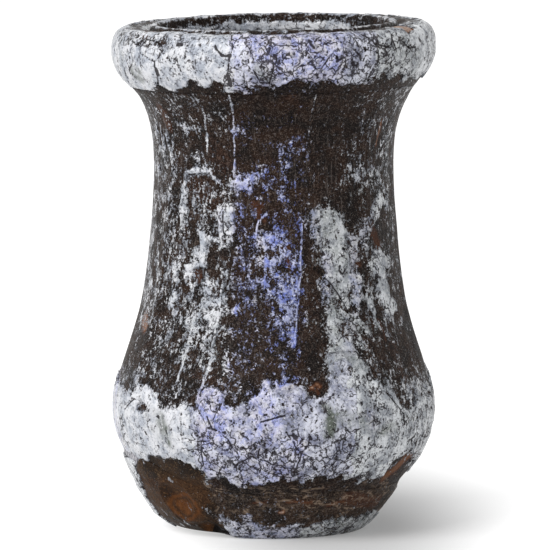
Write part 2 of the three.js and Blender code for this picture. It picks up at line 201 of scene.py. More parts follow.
def makeFloor():
    half = studio["floorSize"] / 2 * mm
    mesh = bpy.data.meshes.new("floor")
    corners = [(-half, -half, 0), (half, -half, 0), (half, half, 0), (-half, half, 0)]
    mesh.from_pydata(corners, [], [(0, 1, 2, 3)])
    floor = bpy.data.objects.new("floor", mesh)
    bpy.context.scene.collection.objects.link(floor)
    material = bpy.data.materials.new("floor")
    material.use_nodes = True
    tree = material.node_tree
    tree.nodes.clear()
    seen = seenWhite(tree)
    white, plain = ((value, value, value, 1) for value in (studio["floorWhite"], studio["floorSeen"]))
    matt = node(tree, "ShaderNodeBsdfDiffuse", {"Color": mixed(tree, seen, white, plain)})
    # painted shadow: a glow that only the camera sees, weakest round a chosen place beside and in front of the
    # jar
    place = node(tree, "ShaderNodeTexCoord").outputs["Object"]
    heart = metres(studio["shadowHeart"])
    off = node(tree, "ShaderNodeVectorMath", {0: place, 1: heart}, operation="SUBTRACT").outputs[0]
    squeeze = (1, studio["shadowDepth"], 1)
    off = node(tree, "ShaderNodeVectorMath", {0: off, 1: squeeze}, operation="MULTIPLY").outputs[0]
    away = node(tree, "ShaderNodeVectorMath", {0: off}, operation="LENGTH").outputs["Value"]
    start, end = studio["farFrom"] * mm, studio["farTo"] * mm
    lift = band(tree, away, start, end, studio["floorLift"], studio["farLift"])
    glow = node(tree, "ShaderNodeEmission", {
        "Color": (1, 1, 1, 1), "Strength": times(tree, seen, lift)})
    both = node(tree, "ShaderNodeAddShader", {0: matt.outputs[0], 1: glow.outputs[0]})
    out = node(tree, "ShaderNodeOutputMaterial")
    tree.links.new(both.outputs[0], out.inputs["Surface"])
    mesh.materials.append(material)


makeCamera()
makeLamp("keyLamp", studio["keyPlace"], studio["keySize"], studio["keyPower"])
makeLamp("fillLamp", studio["fillPlace"], studio["fillSize"], studio["fillPower"])
makeWorld()
makeFloor()
bpy.context.scene.view_settings.view_transform = "Standard"
print("studio ready")


# Numbers used all over

def ease(value, low, high):
    # 3t^2 - 2t^3 with t the value's share of the way from low to high
    t = np.clip((value - low) / (high - low), 0, 1)
    return t * t * (3 - 2 * t)


def blend(first, second, share):
    return first + (second - first) * share


def turned(angle):
    # an angle brought into -180..180
    return (angle + 180) % 360 - 180


latticeShift = 500.0  # keeps the indices of the noise's lattice above zero
layerFade = 0.55  # strength of each layer of noise against the one before
layerGain = 0.9  # brings their sum back to about -1..1


def scatter(i, j, k, seed):
    # one fixed number in 0..1 for each lattice cell, from whole-number mixing of its three indices
    n = (i * 73856093) ^ (j * 19349663) ^ (k * 83492791) ^ (seed * 374761393)
    n = n & 0xFFFFFFFF
    n = ((n ^ (n >> 15)) * 73244475) & 0xFFFFFFFF
    n = ((n ^ (n >> 13)) * 39916801) & 0xFFFFFFFF
    return ((n ^ (n >> 16)) & 0xFFFFFF) / 0xFFFFFF


def cloud(points, size, seed):
    # smooth lattice noise in -1..1: the cell's eight corner numbers, blended by 3t^2 - 2t^3 along each axis
    place = points / size + latticeShift
    cell = np.floor(place).astype(np.int64)
    t = place - cell
    t = t * t * (3 - 2 * t)
    total = np.zeros(place.shape[:-1])
    for dx in (0, 1):
        for dy in (0, 1):
            for dz in (0, 1):
                share = 1.0
                for axis, step in enumerate((dx, dy, dz)):
                    share = share * (t[..., axis] if step else 1 - t[..., axis])
                total += share * scatter(cell[..., 0] + dx, cell[..., 1] + dy, cell[..., 2] + dz, seed)
    return 2 * total - 1


def billow(points, size, seed, layers=4):
    # sum of clouds, each half the size of the last and weaker, about -1..1
    total = 0
    strength = 1.0
    for layer in range(layers):
        total = total + strength * cloud(points, size * 0.5 ** layer, seed + 11 * layer)
        strength *= layerFade
    return total * layerGain


def shards(points, size, seed):
    # one seed point in each lattice cube: distance to the nearest, and that one's own number
    place = points / size + latticeShift
    base = np.floor(place).astype(np.int64)
    near = np.full(place.shape[:-1], 9.0)
    number = np.zeros_like(near)
    for dx in (-1, 0, 1):
        for dy in (-1, 0, 1):
            for dz in (-1, 0, 1):
                i, j, k = base[..., 0] + dx, base[..., 1] + dy, base[..., 2] + dz
                away = (i + scatter(i, j, k, seed) - place[..., 0]) ** 2
                away = away + (j + scatter(i, j, k, seed + 1) - place[..., 1]) ** 2
                away = away + (k + scatter(i, j, k, seed + 2) - place[..., 2]) ** 2
                closer = away < near
                number = np.where(closer, scatter(i, j, k, seed + 3), number)
                near = np.minimum(near, away)
    return np.sqrt(near) * size, number


# The jar's own shape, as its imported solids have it

wallForm = {
    "bellyRadius": 24.9,
    "bellyHeight": 19.7,
    "bellyWall": 3.0,
    "waistRadius": 20.6,
    "waistHeight": 37.2,
    "waistSlope": 0.15,
    "neckRadius": 18.8,
    "neckHeight": 57.5,
    "neckWall": 2.8,
    "collarHeight": 69.8,
    "collarReach": 3.0,
    "collarRise": 1.3,
    "lipWall": 1.4,
    "lipShoulder": 1.1,
    "lipCrown": 1.29,  # the curve's corners stand this far over the shoulder
    "keelRadius": 18.9,
    "keelHeight": 6.6,
    "bulbBottom": 4.4,
    "floorHeight": 8.4,
    "floorKick": 0.8,
    "facets": 10,
    "facetDepth": 0.35,
    "firstRidge": -20,
    "ridgeDrift": -8,
}
rollForm = {
    "radius": 25.0,
    "width": 5.35,
    "height": 9.2,
    "bulge": 5.4,  # height of its widest circle over the collar
    "crownReach": 1.9,
    "seamMouth": 0.9,
    "lipRise": 0.6,
    "tilt": 1.07,
    "tiltReach": 9.8,
}
padForm = {
    "shift": 1.2,
    "radius": 20.2,
    "footRadius": 14.6,
    "tuck": 0.73,
    "swell": 1.0,
    "pontilRadius": 9.0,
    "pontilDepth": 1.1,
    "edge": 0.25,
    "smearHeight": 5.6,
    "smearAngle": -90,
    "smearSpread": 66,
    "chipAngle": -36,
    "chipRadius": 2.6,
    "chipOffset": 1.1,
    "scarAngle": -46,
    "scarRadius": 7.5,
    "scarDepth": 0.5,
    "scarHeight": 3.1,
    "scarMiddle": 4.6,
    "ringStep": 1.05,
    "wornRise": 0.65,  # at the left the edge of the resting face is worn off to this height
    "wornAngle": -62,
    "wornSpread": 50,
    "wornFrom": 11.0,
    "pontilRows": (0.25, 0.5, 0.75, 1.0),  # shares of the hollow's radius
    "restingRows": (0.4, 0.8),  # shares of the way from the hollow to the foot's edge
    # the smear's edge on the wall: rise over the pad's top, and distance from the wall
    "smearEdge": ((0.1, 0.44), (0.45, 0.27), (0.75, 0.12), (1.0, 0.04), (-0.05, 0.05)),
}
seam = 0.25  # between two gathers of glass
lipRadius = rollForm["radius"] - rollForm["width"] - seam
mouthRadius = lipRadius - wallForm["lipWall"]
collarRadius = lipRadius + wallForm["collarReach"]
rimHeight = wallForm["collarHeight"] + rollForm["bulge"]
rollTop = wallForm["collarHeight"] + rollForm["height"]
rollCrown = lipRadius + rollForm["crownReach"]
lipHeight = rollTop + rollForm["lipRise"]


def bend(corners, t):
    # cubic curve (1-t)^3 a + 3(1-t)^2 t b + 3(1-t) t^2 c + t^3 d
    a, b, c, d = corners
    s = 1 - t
    return s ** 3 * a + 3 * s * s * t * b + 3 * s * t * t * c + t ** 3 * d


curvePoints = 400  # points on a curve when its length is measured


def evenLine(corners, spacing):
    # points of a cubic curve, or of a straight line, at even steps of length
    corners = np.array(corners, float)
    if len(corners) == 2:
        corners = np.array([blend(corners[0], corners[1], share) for share in (0, 1 / 3, 2 / 3, 1)])
    fine = bend(corners[:, None, :], np.linspace(0, 1, curvePoints)[:, None])
    length = np.concatenate([[0], np.cumsum(np.hypot(*np.diff(fine, axis=0).T))])
    steps = np.linspace(0, length[-1], max(2, round(length[-1] / spacing)) + 1)
    return np.stack([np.interp(steps, length, fine[:, 0]), np.interp(steps, length, fine[:, 1])], 1)


def joined(lines):
    # lines end to end, each shared point once
    return np.concatenate([lines[0]] + [line[1:] for line in lines[1:]])


def wallCorners():
    w = wallForm
    belly, waist, neck = w["bellyHeight"], w["waistHeight"], w["neckHeight"]
    keel, collar = w["keelHeight"], w["collarHeight"]
    down = (waist - belly) * 0.31
    up = (neck - waist) * 0.3
    return {
        "underside": [
            (0, w["bulbBottom"]), (w["keelRadius"] * 0.45, w["bulbBottom"]),
            (w["keelRadius"] * 0.85, blend(w["bulbBottom"], keel, 0.45)), (w["keelRadius"], keel)],
        "underBelly": [
            (w["keelRadius"], keel),
            (blend(w["keelRadius"], w["bellyRadius"], 0.667), blend(keel, belly, 0.336)),
            (w["bellyRadius"], blend(belly, keel, 0.4)), (w["bellyRadius"], belly)],
        "shoulder": [
            (w["bellyRadius"], belly), (w["bellyRadius"], blend(belly, waist, 0.28)),
            (w["waistRadius"] + w["waistSlope"] * down, waist - down), (w["waistRadius"], waist)],
        "neck": [
            (w["waistRadius"], waist), (w["waistRadius"] - w["waistSlope"] * up, waist + up),
            (w["neckRadius"], blend(neck, waist, 0.37)), (w["neckRadius"], neck)],
        "flare": [
            (w["neckRadius"], neck), (w["neckRadius"], blend(neck, collar, 0.57)),
            (blend(collarRadius, w["neckRadius"], 0.46), blend(collar, neck, 0.16)), (collarRadius, collar)],
    }


outerParts = ("underBelly", "shoulder", "neck", "flare")
outerLine = joined([evenLine(wallCorners()[part], 0.1) for part in outerParts])


def outerRadius(height):
    return np.interp(height, outerLine[:, 1], outerLine[:, 0])


def facetSink(angle, height):
    # ten broad faces: depth times 1 - across^2, where across runs from -1 to 1 between two ridges
    w = wallForm
    start, full = blend(w["keelHeight"], w["bellyHeight"], 0.6), blend(w["bellyHeight"], w["neckHeight"], 0.25)
    fade = blend(w["neckHeight"], w["collarHeight"], 0.75)
    share = ease(height, start, full) * (1 - ease(height, fade, w["collarHeight"]))
    down = np.clip((w["collarHeight"] - height) / (w["collarHeight"] - w["bellyHeight"]), 0, 1)
    place = (angle - w["firstRidge"] - w["ridgeDrift"] * down) * w["facets"] / 360
    across = 2 * (place - np.floor(place)) - 1
    return w["facetDepth"] * share * (1 - across ** 2)


def atJar(angle, radius, height):
    # a point from its angle, radius and height, with the lean of the rim
    x = radius * np.sin(np.radians(angle))
    y = -radius * np.cos(np.radians(angle))
    lean = math.tan(math.radians(rollForm["tilt"]))
    share = ease(height, wallForm["collarHeight"] - rollForm["tiltReach"], rimHeight)
    return np.stack([x, y, height + x * lean * share], -1)


def smearShare(angle):
    spread = padForm["smearSpread"]
    return 1 - ease(np.abs(turned(angle - padForm["smearAngle"])), spread * 0.25, spread)


def shifted(angle, radius):
    # radius round the jar's axis of a circle that is centred a little to the left
    along = -padForm["shift"] * np.sin(np.radians(angle))
    return along + np.sqrt(along ** 2 - padForm["shift"] ** 2 + radius ** 2)


def padFlank(angle, share):
    # (radius, height) of the pad's side: a cubic curve from its top edge, share 0, to the resting face, share 1
    smear = smearShare(angle)
    keel = wallForm["keelHeight"]
    top = keel + padForm["smearHeight"] * smear + 0.01
    reach = outerRadius(top) + seam + padForm["edge"]
    swell = padForm["swell"] * smear
    second = np.minimum(shifted(angle, padForm["radius"] - 0.7 + swell), reach - 0.5)
    third = shifted(angle, blend(padForm["radius"], padForm["footRadius"], padForm["tuck"]) + swell / 2)
    radius = bend((reach, second, third, shifted(angle, padForm["footRadius"])), share)
    height = bend((top - seam, keel * blend(0.68, 0.95, smear), keel * 0.05, 0.0), share)
    return radius, height


def wornEdge(angle, radius, height):
    # rise of the pad's lower edge: full at the foot's own radius at the left, none further in, up, or round
    p = padForm
    share = 1 - ease(np.abs(turned(angle - p["wornAngle"])), p["wornSpread"] * 0.5, p["wornSpread"])
    return p["wornRise"] * share * ease(radius, p["wornFrom"], p["footRadius"]) * (1 - ease(height, 0.4, 3.0))


# Marks on the surface, as chains of (angle, height) with a half width in mm and an amount

radiansPerDegree = math.pi / 180
farAway = 99.0
strokeMargin = 0.1
leastPerDegree = 0.3  # mm along the surface for one degree, at the narrowest


def turnLine(points, angle):
    # height of a ragged edge round the jar, at an angle
    places = np.array(points, float)
    return np.interp(angle, places[:, 0], places[:, 1], period=360)


def strokes(target, angle, height, radius, chains, soft, wipes=False):
    # the distance to a chain's segments, on the unrolled surface, turned into the chain's amount inside its
    # half width and 0 outside; each vertex takes the largest amount, or loses that share where they wipe
    perDegree = radiansPerDegree * radius
    for points, half, amount in chains:
        reach = half + soft + strokeMargin
        angles = [a for a, _ in points]
        heights = [h for _, h in points]
        middle = (min(angles) + max(angles)) / 2
        span = (max(angles) - min(angles)) / 2 + reach / leastPerDegree
        near = np.abs(turned(angle - middle)) < span
        near &= (height > min(heights) - reach) & (height < max(heights) + reach)
        if not near.any():
            continue
        a, h, k = angle[near], height[near], perDegree[near]
        best = np.full(a.shape, farAway)
        for (a0, h0), (a1, h1) in zip(points, points[1:]):
            du, dv = turned(a - a0) * k, h - h0
            eu, ev = (a1 - a0) * k, h1 - h0
            t = np.clip((du * eu + dv * ev) / (eu * eu + ev * ev), 0, 1)
            best = np.minimum(best, np.hypot(du - t * eu, dv - t * ev))
        share = amount * (1 - ease(best, half - soft, half + soft))
        target[near] = target[near] * (1 - share) if wipes else np.maximum(target[near], share)


rimEdge = [
    (-180, 71), (-150, 70.2), (-120, 71), (-100, 70.6), (-83, 71.4), (-75, 69.8), (-62, 69), (-53, 69.5),
    (-48, 70.8), (-42, 70), (-32, 71.2), (-22, 71.6), (-18, 70.3), (-11, 70.6), (0, 71.2), (8, 72),
    (13, 71.4), (18, 72.6), (25, 71), (36, 71.2), (43, 72), (54, 72), (60, 70.5), (78, 71.5),
    (95, 70.4), (120, 71.2), (150, 70.3)]
bellyTop = [
    (-180, 24.5), (-165, 25.5), (-150, 23), (-120, 26.5), (-100, 24), (-75, 22.5), (-63, 23), (-54, 25.4),
    (-49, 23), (-44, 21.4), (-30, 21.6), (-27, 23.5), (-19, 24.7), (-17, 22.6), (-9, 23.6), (0, 25.6),
    (6, 26), (13, 23.6), (18, 24), (22, 27), (34, 28.5), (43, 25.6), (46, 22.8), (58, 21.4), (75, 21.8),
    (90, 24.5), (110, 26.5), (125, 27), (145, 23), (160, 24.5)]
bellyLow = [
    (-180, 9.5), (-150, 8.6), (-125, 10), (-105, 8.6), (-85, 9), (-66, 9.6), (-42, 9.6),
    (-34, 9.6), (-30, 9.8), (-20, 10), (-14, 9), (0, 9.9), (8, 9.4), (18, 10), (25, 10.3), (34, 9.8),
    (42, 9), (50, 9.8), (56, 11.6), (64, 12.6), (80, 10.5), (100, 8.6), (130, 9.4), (155, 8.7)]
footTop = [
    (-180, 3.2), (-150, 4), (-125, 9), (-105, 12.5), (-84, 14), (-62, 14), (-34, 0.6), (-31, 2.2),
    (-26, 3.9), (-12, 4), (-6, 1.8), (5, 3), (14, 2.2), (28, 2.9), (44, 3.2), (60, 3.6), (80, 3),
    (105, 2.6), (130, 3.4), (155, 2.7)]

# the brown patch at the left of the foot: its top edge, its left edge as (height, angle), and its right edge
patchTop = [
    (-90, 11.2), (-63.5, 12.0), (-54, 12.6), (-48, 12.8), (-38, 12.8), (-33, 12.3), (-29, 11.4), (-20, 9)]
patchSide = [(0, -73), (4, -74), (6, -72), (8, -70), (10, -70.5), (12.2, -63)]
patchRight = -29.5
patchBits = [
    ([(-48.2, 9.4), (-47.2, 9.1)], 0.2, 1.1),
    ([(-47.2, 9.1), (-45.6, 9)], 0.1, 1.0),
    ([(-60.5, 11.2), (-59.3, 10.9)], 0.16, 0.9),
    ([(-50, 2.1), (-48.6, 1.8)], 0.25, 0.9),
    ([(-64, 3.6), (-63, 2.8)], 0.22, 0.8),
    ([(-57, 1.6), (-55, 1.3)], 0.22, 0.8),
    ([(-35, 5), (-33, 4.4)], 0.35, 0.6),
]

# crust that is left on the neck and the waist
neckCrust = [
    ([(-34, 70.5), (-32.5, 67.5), (-32.5, 63.5), (-33.5, 60)], 0.19, 0.55),
    ([(-18, 70.5), (-17.5, 68), (-18.5, 62.5), (-19, 57)], 0.19, 0.55),
    ([(-49, 64), (-40.5, 64)], 0.5, 0.6),
    ([(-40.5, 59.5), (-39, 59.5)], 0.45, 0.6),
    ([(-57, 65.5), (-55.5, 65.5)], 0.3, 0.8),
    ([(-66.5, 64), (-65.5, 60.5)], 0.35, 0.85),
    ([(-61, 62.5), (-56.5, 59)], 0.4, 0.85),
    ([(-30, 67), (-23, 66)], 0.3, 0.4),
    ([(-21.5, 64), (-15.5, 64)], 0.6, 0.75),
    ([(-17, 55.5), (-11, 55.5)], 0.85, 0.9),
    ([(4.5, 61.5), (3.8, 58.5), (5, 54.5)], 0.45, 0.55),
    ([(8, 61.5), (7, 59)], 0.6, 0.5),
    ([(12.6, 62), (12, 60), (13.6, 58.6)], 0.55, 0.5),
    ([(0, 57), (9, 55.5)], 0.8, 0.36),
    ([(-5, 59), (1, 60)], 0.3, 0.35),
    ([(-5.5, 57.5), (1, 54)], 1.3, 0.42),
    ([(17.5, 70), (16.5, 67), (16, 63)], 0.13, 0.42),
    ([(48.5, 71), (44.5, 69), (44, 65.5), (44, 64.5)], 0.13, 0.45),
    ([(65.5, 62), (64, 59)], 0.4, 0.6),
    ([(42.5, 58), (70, 53.5)], 1.9, 0.45),
    ([(60.5, 53), (69, 51.5)], 0.63, 0.75),
    ([(53, 50.5), (43.5, 47)], 0.95, 0.55),
    ([(47, 45.5), (55, 44.5)], 0.55, 0.75),
    ([(54, 43.5), (63.5, 42.5)], 1.1, 0.9),
    ([(55, 42.5), (60.5, 35.7)], 1.7, 0.97),
    ([(62, 52.5), (46, 47)], 1.2, 0.7),
    ([(55, 34), (55.5, 32.5)], 0.6, 0.75),
    ([(46, 38), (48, 33)], 0.9, 0.6),
    ([(77.5, 54.5), (67, 52)], 0.32, 0.7),
    ([(77.5, 51), (76.5, 45)], 0.32, 0.5),
    ([(80, 44), (71.5, 36.5)], 0.32, 0.45),
]
leftCrust = [
    ([(-48.5, 47.5), (-50.5, 51), (-49.5, 54), (-46, 57)], 0.4, 0.9),
    ([(-45, 57), (-38, 58), (-33.5, 57.5)], 0.48, 0.85),
    ([(-33.5, 57.5), (-25, 55.5)], 0.25, 0.7),
    ([(-47.5, 54), (-47, 51)], 0.7, 0.85),
    ([(-36, 54.5), (-35.5, 49.5)], 0.25, 0.35),
    ([(-58, 54), (-55.5, 48)], 0.95, 0.45),
    ([(-26.5, 51.5), (-24.5, 48)], 0.63, 0.92),
    ([(-22, 51.5), (-20.5, 48.5)], 0.95, 0.92),
    ([(-22, 47.5), (-22, 46.5), (-25.5, 45.5)], 0.32, 0.75),
    ([(-33.5, 53), (-34, 47.5)], 0.48, 0.45),
    ([(-31, 47.5), (-27.5, 46.5)], 0.8, 0.6),
    ([(-35.5, 47.5), (-33.5, 43.5)], 0.8, 0.95),
    ([(-41.5, 42.5), (-30.5, 43)], 0.55, 0.85),
    ([(-45.5, 47), (-43.5, 45)], 0.48, 0.7),
    ([(-68.5, 44), (-66, 43)], 0.4, 0.85),
    ([(-56, 45), (-56, 43.5)], 0.4, 0.7),
    ([(-49.5, 42), (-49, 40)], 0.48, 0.85),
    ([(-49.5, 38.5), (-50.5, 36.5)], 0.48, 0.75),
    ([(-50, 33.5), (-51, 31)], 0.4, 0.6),
    ([(-41, 40.5), (-34, 39)], 1.3, 0.55),
    ([(-35.5, 38), (-26, 38)], 1.6, 0.58),
    ([(-29.5, 35), (-23.5, 36)], 0.8, 0.88),
    ([(-36.5, 31), (-28.5, 31)], 1.1, 0.6),
    ([(-23, 40.5), (-23.5, 36), (-24.5, 32.5), (-25.5, 27.5), (-28.5, 22)], 0.26, 0.8),
    ([(-36, 33), (-37, 30.5), (-39, 25)], 0.25, 0.7),
    ([(-43.5, 28), (-26, 25.5)], 2.2, 0.2),
]
middleCrust = [
    ([(-17.5, 52.5), (-12.5, 52)], 0.63, 0.65),
    ([(-16, 49), (-12.5, 48.5)], 0.63, 0.7),
    ([(-7.5, 47), (2.5, 47.5)], 1.1, 0.85),
    ([(-1.5, 45.5), (0, 39)], 1.3, 0.78),
    ([(4.5, 47), (4.5, 41)], 0.8, 0.7),
    ([(4.5, 41), (7, 35.5)], 1.3, 0.85),
    ([(10, 43), (9.5, 38)], 0.63, 0.8),
    ([(5.5, 34.5), (6.5, 31)], 1.1, 0.6),
    ([(-13, 46.5), (-12.5, 37.5)], 1.4, 0.45),
    ([(-10, 36), (-1.5, 31)], 1.6, 0.36),
    ([(5.5, 51), (14.5, 50)], 0.95, 0.5),
    ([(13, 49), (11.5, 40.5), (9.5, 35), (8.5, 30.5)], 0.16, 0.6),
    ([(-8.5, 47.5), (-7, 50), (-4, 51)], 0.2, 0.7),
]
rightCrust = [
    ([(20, 51), (28.5, 50.5)], 0.87, 0.85),
    ([(28, 49), (31, 40.5)], 1.9, 0.96),
    ([(21, 48), (22, 43.5)], 0.8, 0.55),
    ([(40, 46.5), (38.5, 37.5)], 0.95, 0.85),
    ([(26.5, 39), (31.5, 35)], 1.4, 0.72),
    ([(26, 35), (24.5, 30), (22.5, 24.5)], 0.8, 0.93),
    ([(33.5, 33.5), (31, 29.5)], 0.7, 0.75),
    ([(44, 34.5), (43, 32)], 0.63, 0.7),
    ([(22, 40), (21.5, 37)], 0.44, 0.7),
    ([(29, 29.5), (29, 23.5)], 1.9, 0.93),
    ([(35.5, 26.5), (38, 22.5)], 1.6, 0.9),
    ([(37.5, 36.5), (38.5, 29.5)], 1.4, 0.45),
    ([(65, 21.5), (79.5, 18.5)], 0.95, 0.7),
]
# nothing of the back is known, so its tongues are like those in front
backCrust = [
    ([(-128, 57), (-124, 50), (-122, 42)], 1.1, 0.7),
    ([(-122, 42), (-125, 33), (-129, 25)], 2.0, 0.82),
    ([(-118, 46), (-116, 38)], 1.2, 0.6),
    ([(-131, 36), (-127, 28)], 1.0, 0.7),
    ([(170, 57), (173, 49), (175, 42)], 1.5, 0.8),
    ([(175, 42), (171, 33), (166, 25)], 2.3, 0.86),
    ([(164, 47), (166, 40)], 1.1, 0.6),
    ([(183, 46), (181, 38)], 1.3, 0.65),
    ([(173, 62), (172, 57)], 0.7, 0.6),
    ([(124, 48), (123, 40)], 1.1, 0.78),
    ([(123, 40), (121, 32), (117, 26)], 1.9, 0.86),
    ([(114, 38), (117, 32)], 0.9, 0.6),
    ([(131, 44), (130, 39)], 0.8, 0.6),
    ([(146, 66), (147, 58), (147, 50)], 0.2, 0.5),
    ([(-160, 68), (-159, 60)], 0.2, 0.5),
    ([(-101, 60), (-99, 52), (-100, 45)], 0.5, 0.5),
    ([(99, 58), (97, 50)], 0.6, 0.5),
    ([(-150, 52), (-146, 42)], 1.3, 0.42),
    ([(150, 40), (146, 30)], 1.5, 0.42),
    ([(-168, 44), (-166, 34)], 1.2, 0.45),
]
# places where the crust has fallen off again
bareSpots = [
    ([(19, 25.4), (17.5, 24.2)], 0.9, 0.95),
    ([(-57, 20.6), (-53, 20.4)], 0.5, 0.9),
    ([(-41, 50), (-40, 46)], 0.5, 0.8),
    ([(53, 47.5), (58, 46)], 0.8, 0.8),
    ([(42, 43), (43, 42)], 0.7, 0.8),
    ([(65, 40), (64, 38)], 0.35, 0.8),
    ([(-30, 44), (-28, 41.5)], 0.8, 0.9),
]
# dark cracks that stand out
rimCracks = [
    ([(-55, 76), (-50.5, 75.5), (-46.5, 75), (-45, 75.5), (-43, 76.5), (-44.5, 77.5), (-49, 78), (-53.5, 78),
      (-55, 77), (-55, 76)], 0.12, 0.9),
    ([(-46.4, 73.9), (-45.9, 73.1)], 0.34, 1.0),
    ([(-16.4, 72.9), (-16, 71.6)], 0.36, 1.1),
    ([(-29.5, 74.6), (-29, 74.1)], 0.2, 0.95),
    ([(-33, 76.4), (-32.6, 76), (-33, 75.4)], 0.12, 0.95),
    ([(-65, 75), (-63, 73.5), (-64, 72)], 0.13, 0.95),
    ([(-80, 76.5), (-76, 75), (-74, 75.6)], 0.13, 0.9),
    ([(-62, 77.6), (-57, 77.2)], 0.16, 0.95),
    ([(-46.5, 75), (-47, 74), (-47, 72.5), (-49.5, 71), (-51, 69.5)], 0.16, 1.0),
    ([(-68, 73.5), (-70, 72), (-73, 71)], 0.16, 1.0),
    ([(-21, 77.5), (-19.6, 76.8), (-18.4, 76.2), (-17, 75.9), (-15, 76)], 0.17, 1.15),
    ([(-24, 76), (-24, 75)], 0.12, 0.9),
    ([(-35, 74), (-34.5, 73)], 0.12, 0.9),
    ([(-40.5, 74), (-38, 74)], 0.1, 0.7),
    ([(-37, 77.5), (-34.8, 77.5)], 0.24, 1.3),
    ([(-10.5, 73.5), (-10.5, 71)], 0.12, 0.9),
    ([(-7, 74), (-6, 73), (-5, 72), (-1.5, 72), (-0.5, 73.5), (0, 75)], 0.13, 1.0),
    ([(1, 75.5), (-0.5, 73.5), (-1, 72)], 0.1, 0.7),
    ([(11.5, 76.5), (13.5, 75.5), (14, 74.5), (10, 74.5), (8, 74)], 0.13, 1.0),
    ([(14, 74.5), (16.5, 73.5), (19.5, 75.5)], 0.13, 1.0),
    ([(10, 74.5), (11, 73)], 0.12, 0.9),
    ([(12.5, 78), (14, 77)], 0.25, 1.0),
    ([(23, 77.5), (23.5, 76.5), (27.5, 76)], 0.12, 0.8),
    ([(25, 75.5), (23, 75)], 0.3, 1.0),
    ([(30.5, 76), (32, 75.5), (32, 75)], 0.25, 0.9),
    ([(28.5, 74.5), (30.5, 74)], 0.25, 1.0),
    ([(21.5, 72.5), (23.5, 74), (26.5, 75)], 0.13, 0.9),
    ([(29, 78.5), (33, 76.5), (38.5, 76)], 0.13, 0.9),
    ([(34, 78.5), (38, 77.5), (40, 76), (39.5, 74)], 0.14, 1.0),
    ([(40, 77), (45.5, 76.5)], 0.14, 1.0),
    ([(49, 79), (46, 77)], 0.13, 0.9),
    ([(53, 77), (55.5, 76), (60.5, 76)], 0.18, 1.0),
    ([(54, 75.5), (54, 74)], 0.14, 1.0),
    ([(-16, 79), (-14.5, 77), (-16, 75.5), (-16, 73.5), (-14.5, 72.5)], 0.18, 0.7),
]
bellyCracks = [
    ([(-67.5, 19.5), (-60, 21.5)], 0.13, 0.9),
    ([(-62, 21.5), (-55, 21.5)], 0.11, 0.8),
    ([(-45.5, 19.5), (-45, 19.3)], 0.22, 1.0),
    ([(-49, 14.5), (-44, 15.5)], 0.1, 0.6),
    ([(-33.6, 16.6), (-28, 16.3), (-22.6, 16.4)], 0.13, 0.9),
    ([(-28.2, 15.8), (-28.2, 14.8)], 0.12, 0.9),
    ([(-26.7, 16.2), (-27.2, 12.8)], 0.13, 0.95),
    ([(-24, 20), (-21.8, 18.3), (-20.4, 18.1)], 0.15, 1.0),
    ([(-19.6, 17.9), (-18, 17.2), (-16.4, 16.9), (-15.5, 15.8), (-13.6, 15), (-12.8, 14)], 0.14, 0.95),
    ([(-22, 19.5), (-19, 22)], 0.13, 0.9),
    ([(-19, 22), (-18, 24.5)], 0.1, 0.6),
    ([(-4.5, 19.5), (4, 20.5)], 0.14, 1.0),
    ([(-9.4, 16.3), (-7.8, 16), (-6.2, 16.2)], 0.11, 0.8),
    ([(-4.6, 15.6), (-5.4, 14.8), (-5.2, 14.2)], 0.12, 0.85),
    ([(-15, 12.4), (-13, 13.2), (-10.6, 13.4), (-8, 14.1), (-6, 13.8)], 0.14, 0.95),
    ([(-5, 13.7), (-2.4, 13.4), (-0.4, 12.8), (3, 12.7), (5, 12.2), (8.5, 12.1)], 0.13, 0.9),
    ([(-5.4, 13.2), (-4.6, 12.4), (-5.4, 11.6)], 0.12, 0.85),
    ([(-9.6, 12.2), (-6.5, 11.2), (-4.4, 9.9)], 0.11, 0.85),
    ([(4.5, 18), (6.6, 17), (8, 15.8), (9.6, 14.9), (9.8, 14), (8.8, 12.4)], 0.13, 0.95),
    ([(12.6, 16.2), (11.6, 15.4), (10.9, 15.2)], 0.12, 0.9),
    ([(10.7, 14), (11.6, 13.2), (11.3, 12.4)], 0.12, 0.85),
    ([(12.5, 13.5), (14.6, 13), (16, 12)], 0.12, 0.95),
    ([(29.5, 15), (28, 14)], 0.12, 0.9),
    ([(44.5, 23), (49.5, 21), (53, 19.5), (54, 18)], 0.15, 1.0),
    ([(32, 26), (31.5, 23.5)], 0.12, 0.8),
    ([(36, 29), (41.5, 26)], 0.12, 0.9),
    ([(7, 17.6), (8, 17.2)], 0.28, 1.0),
    ([(12.8, 17.2), (13.6, 16.8)], 0.26, 1.0),
    ([(15.4, 12.2), (16.2, 11.9)], 0.3, 1.0),
    ([(27, 17.9), (28, 17.6)], 0.2, 1.0),
    ([(60, 15.4), (63, 16)], 0.22, 1.0),
]
waistCracks = [
    ([(16.5, 43), (21, 42), (25, 40.5), (29.5, 38.5), (35, 35)], 0.14, 1.0),
    ([(-14, 46.5), (-12.5, 42.5), (-12, 40.5)], 0.12, 0.9),
    ([(-49.8, 48.5), (-51, 51.5), (-50.8, 54)], 0.12, 0.9),
    ([(-24.3, 51.5), (-24.2, 49.5), (-22.8, 47.5)], 0.12, 0.9),
    ([(23.3, 45), (23.8, 44.6)], 0.22, 1.0),
    ([(26, 45.9), (26.8, 45.6)], 0.18, 1.0),
    ([(33.5, 45.4), (34, 45.2)], 0.18, 1.0),
    ([(30.5, 42), (32.5, 41.4), (33.8, 42)], 0.16, 0.9),
    ([(37.2, 25.6), (37.6, 26), (38.3, 26.2), (39, 26), (39.4, 25.6), (39, 25.2), (38.3, 25), (37.6, 25.2),
      (37.2, 25.6)], 0.1, 1.35),
]
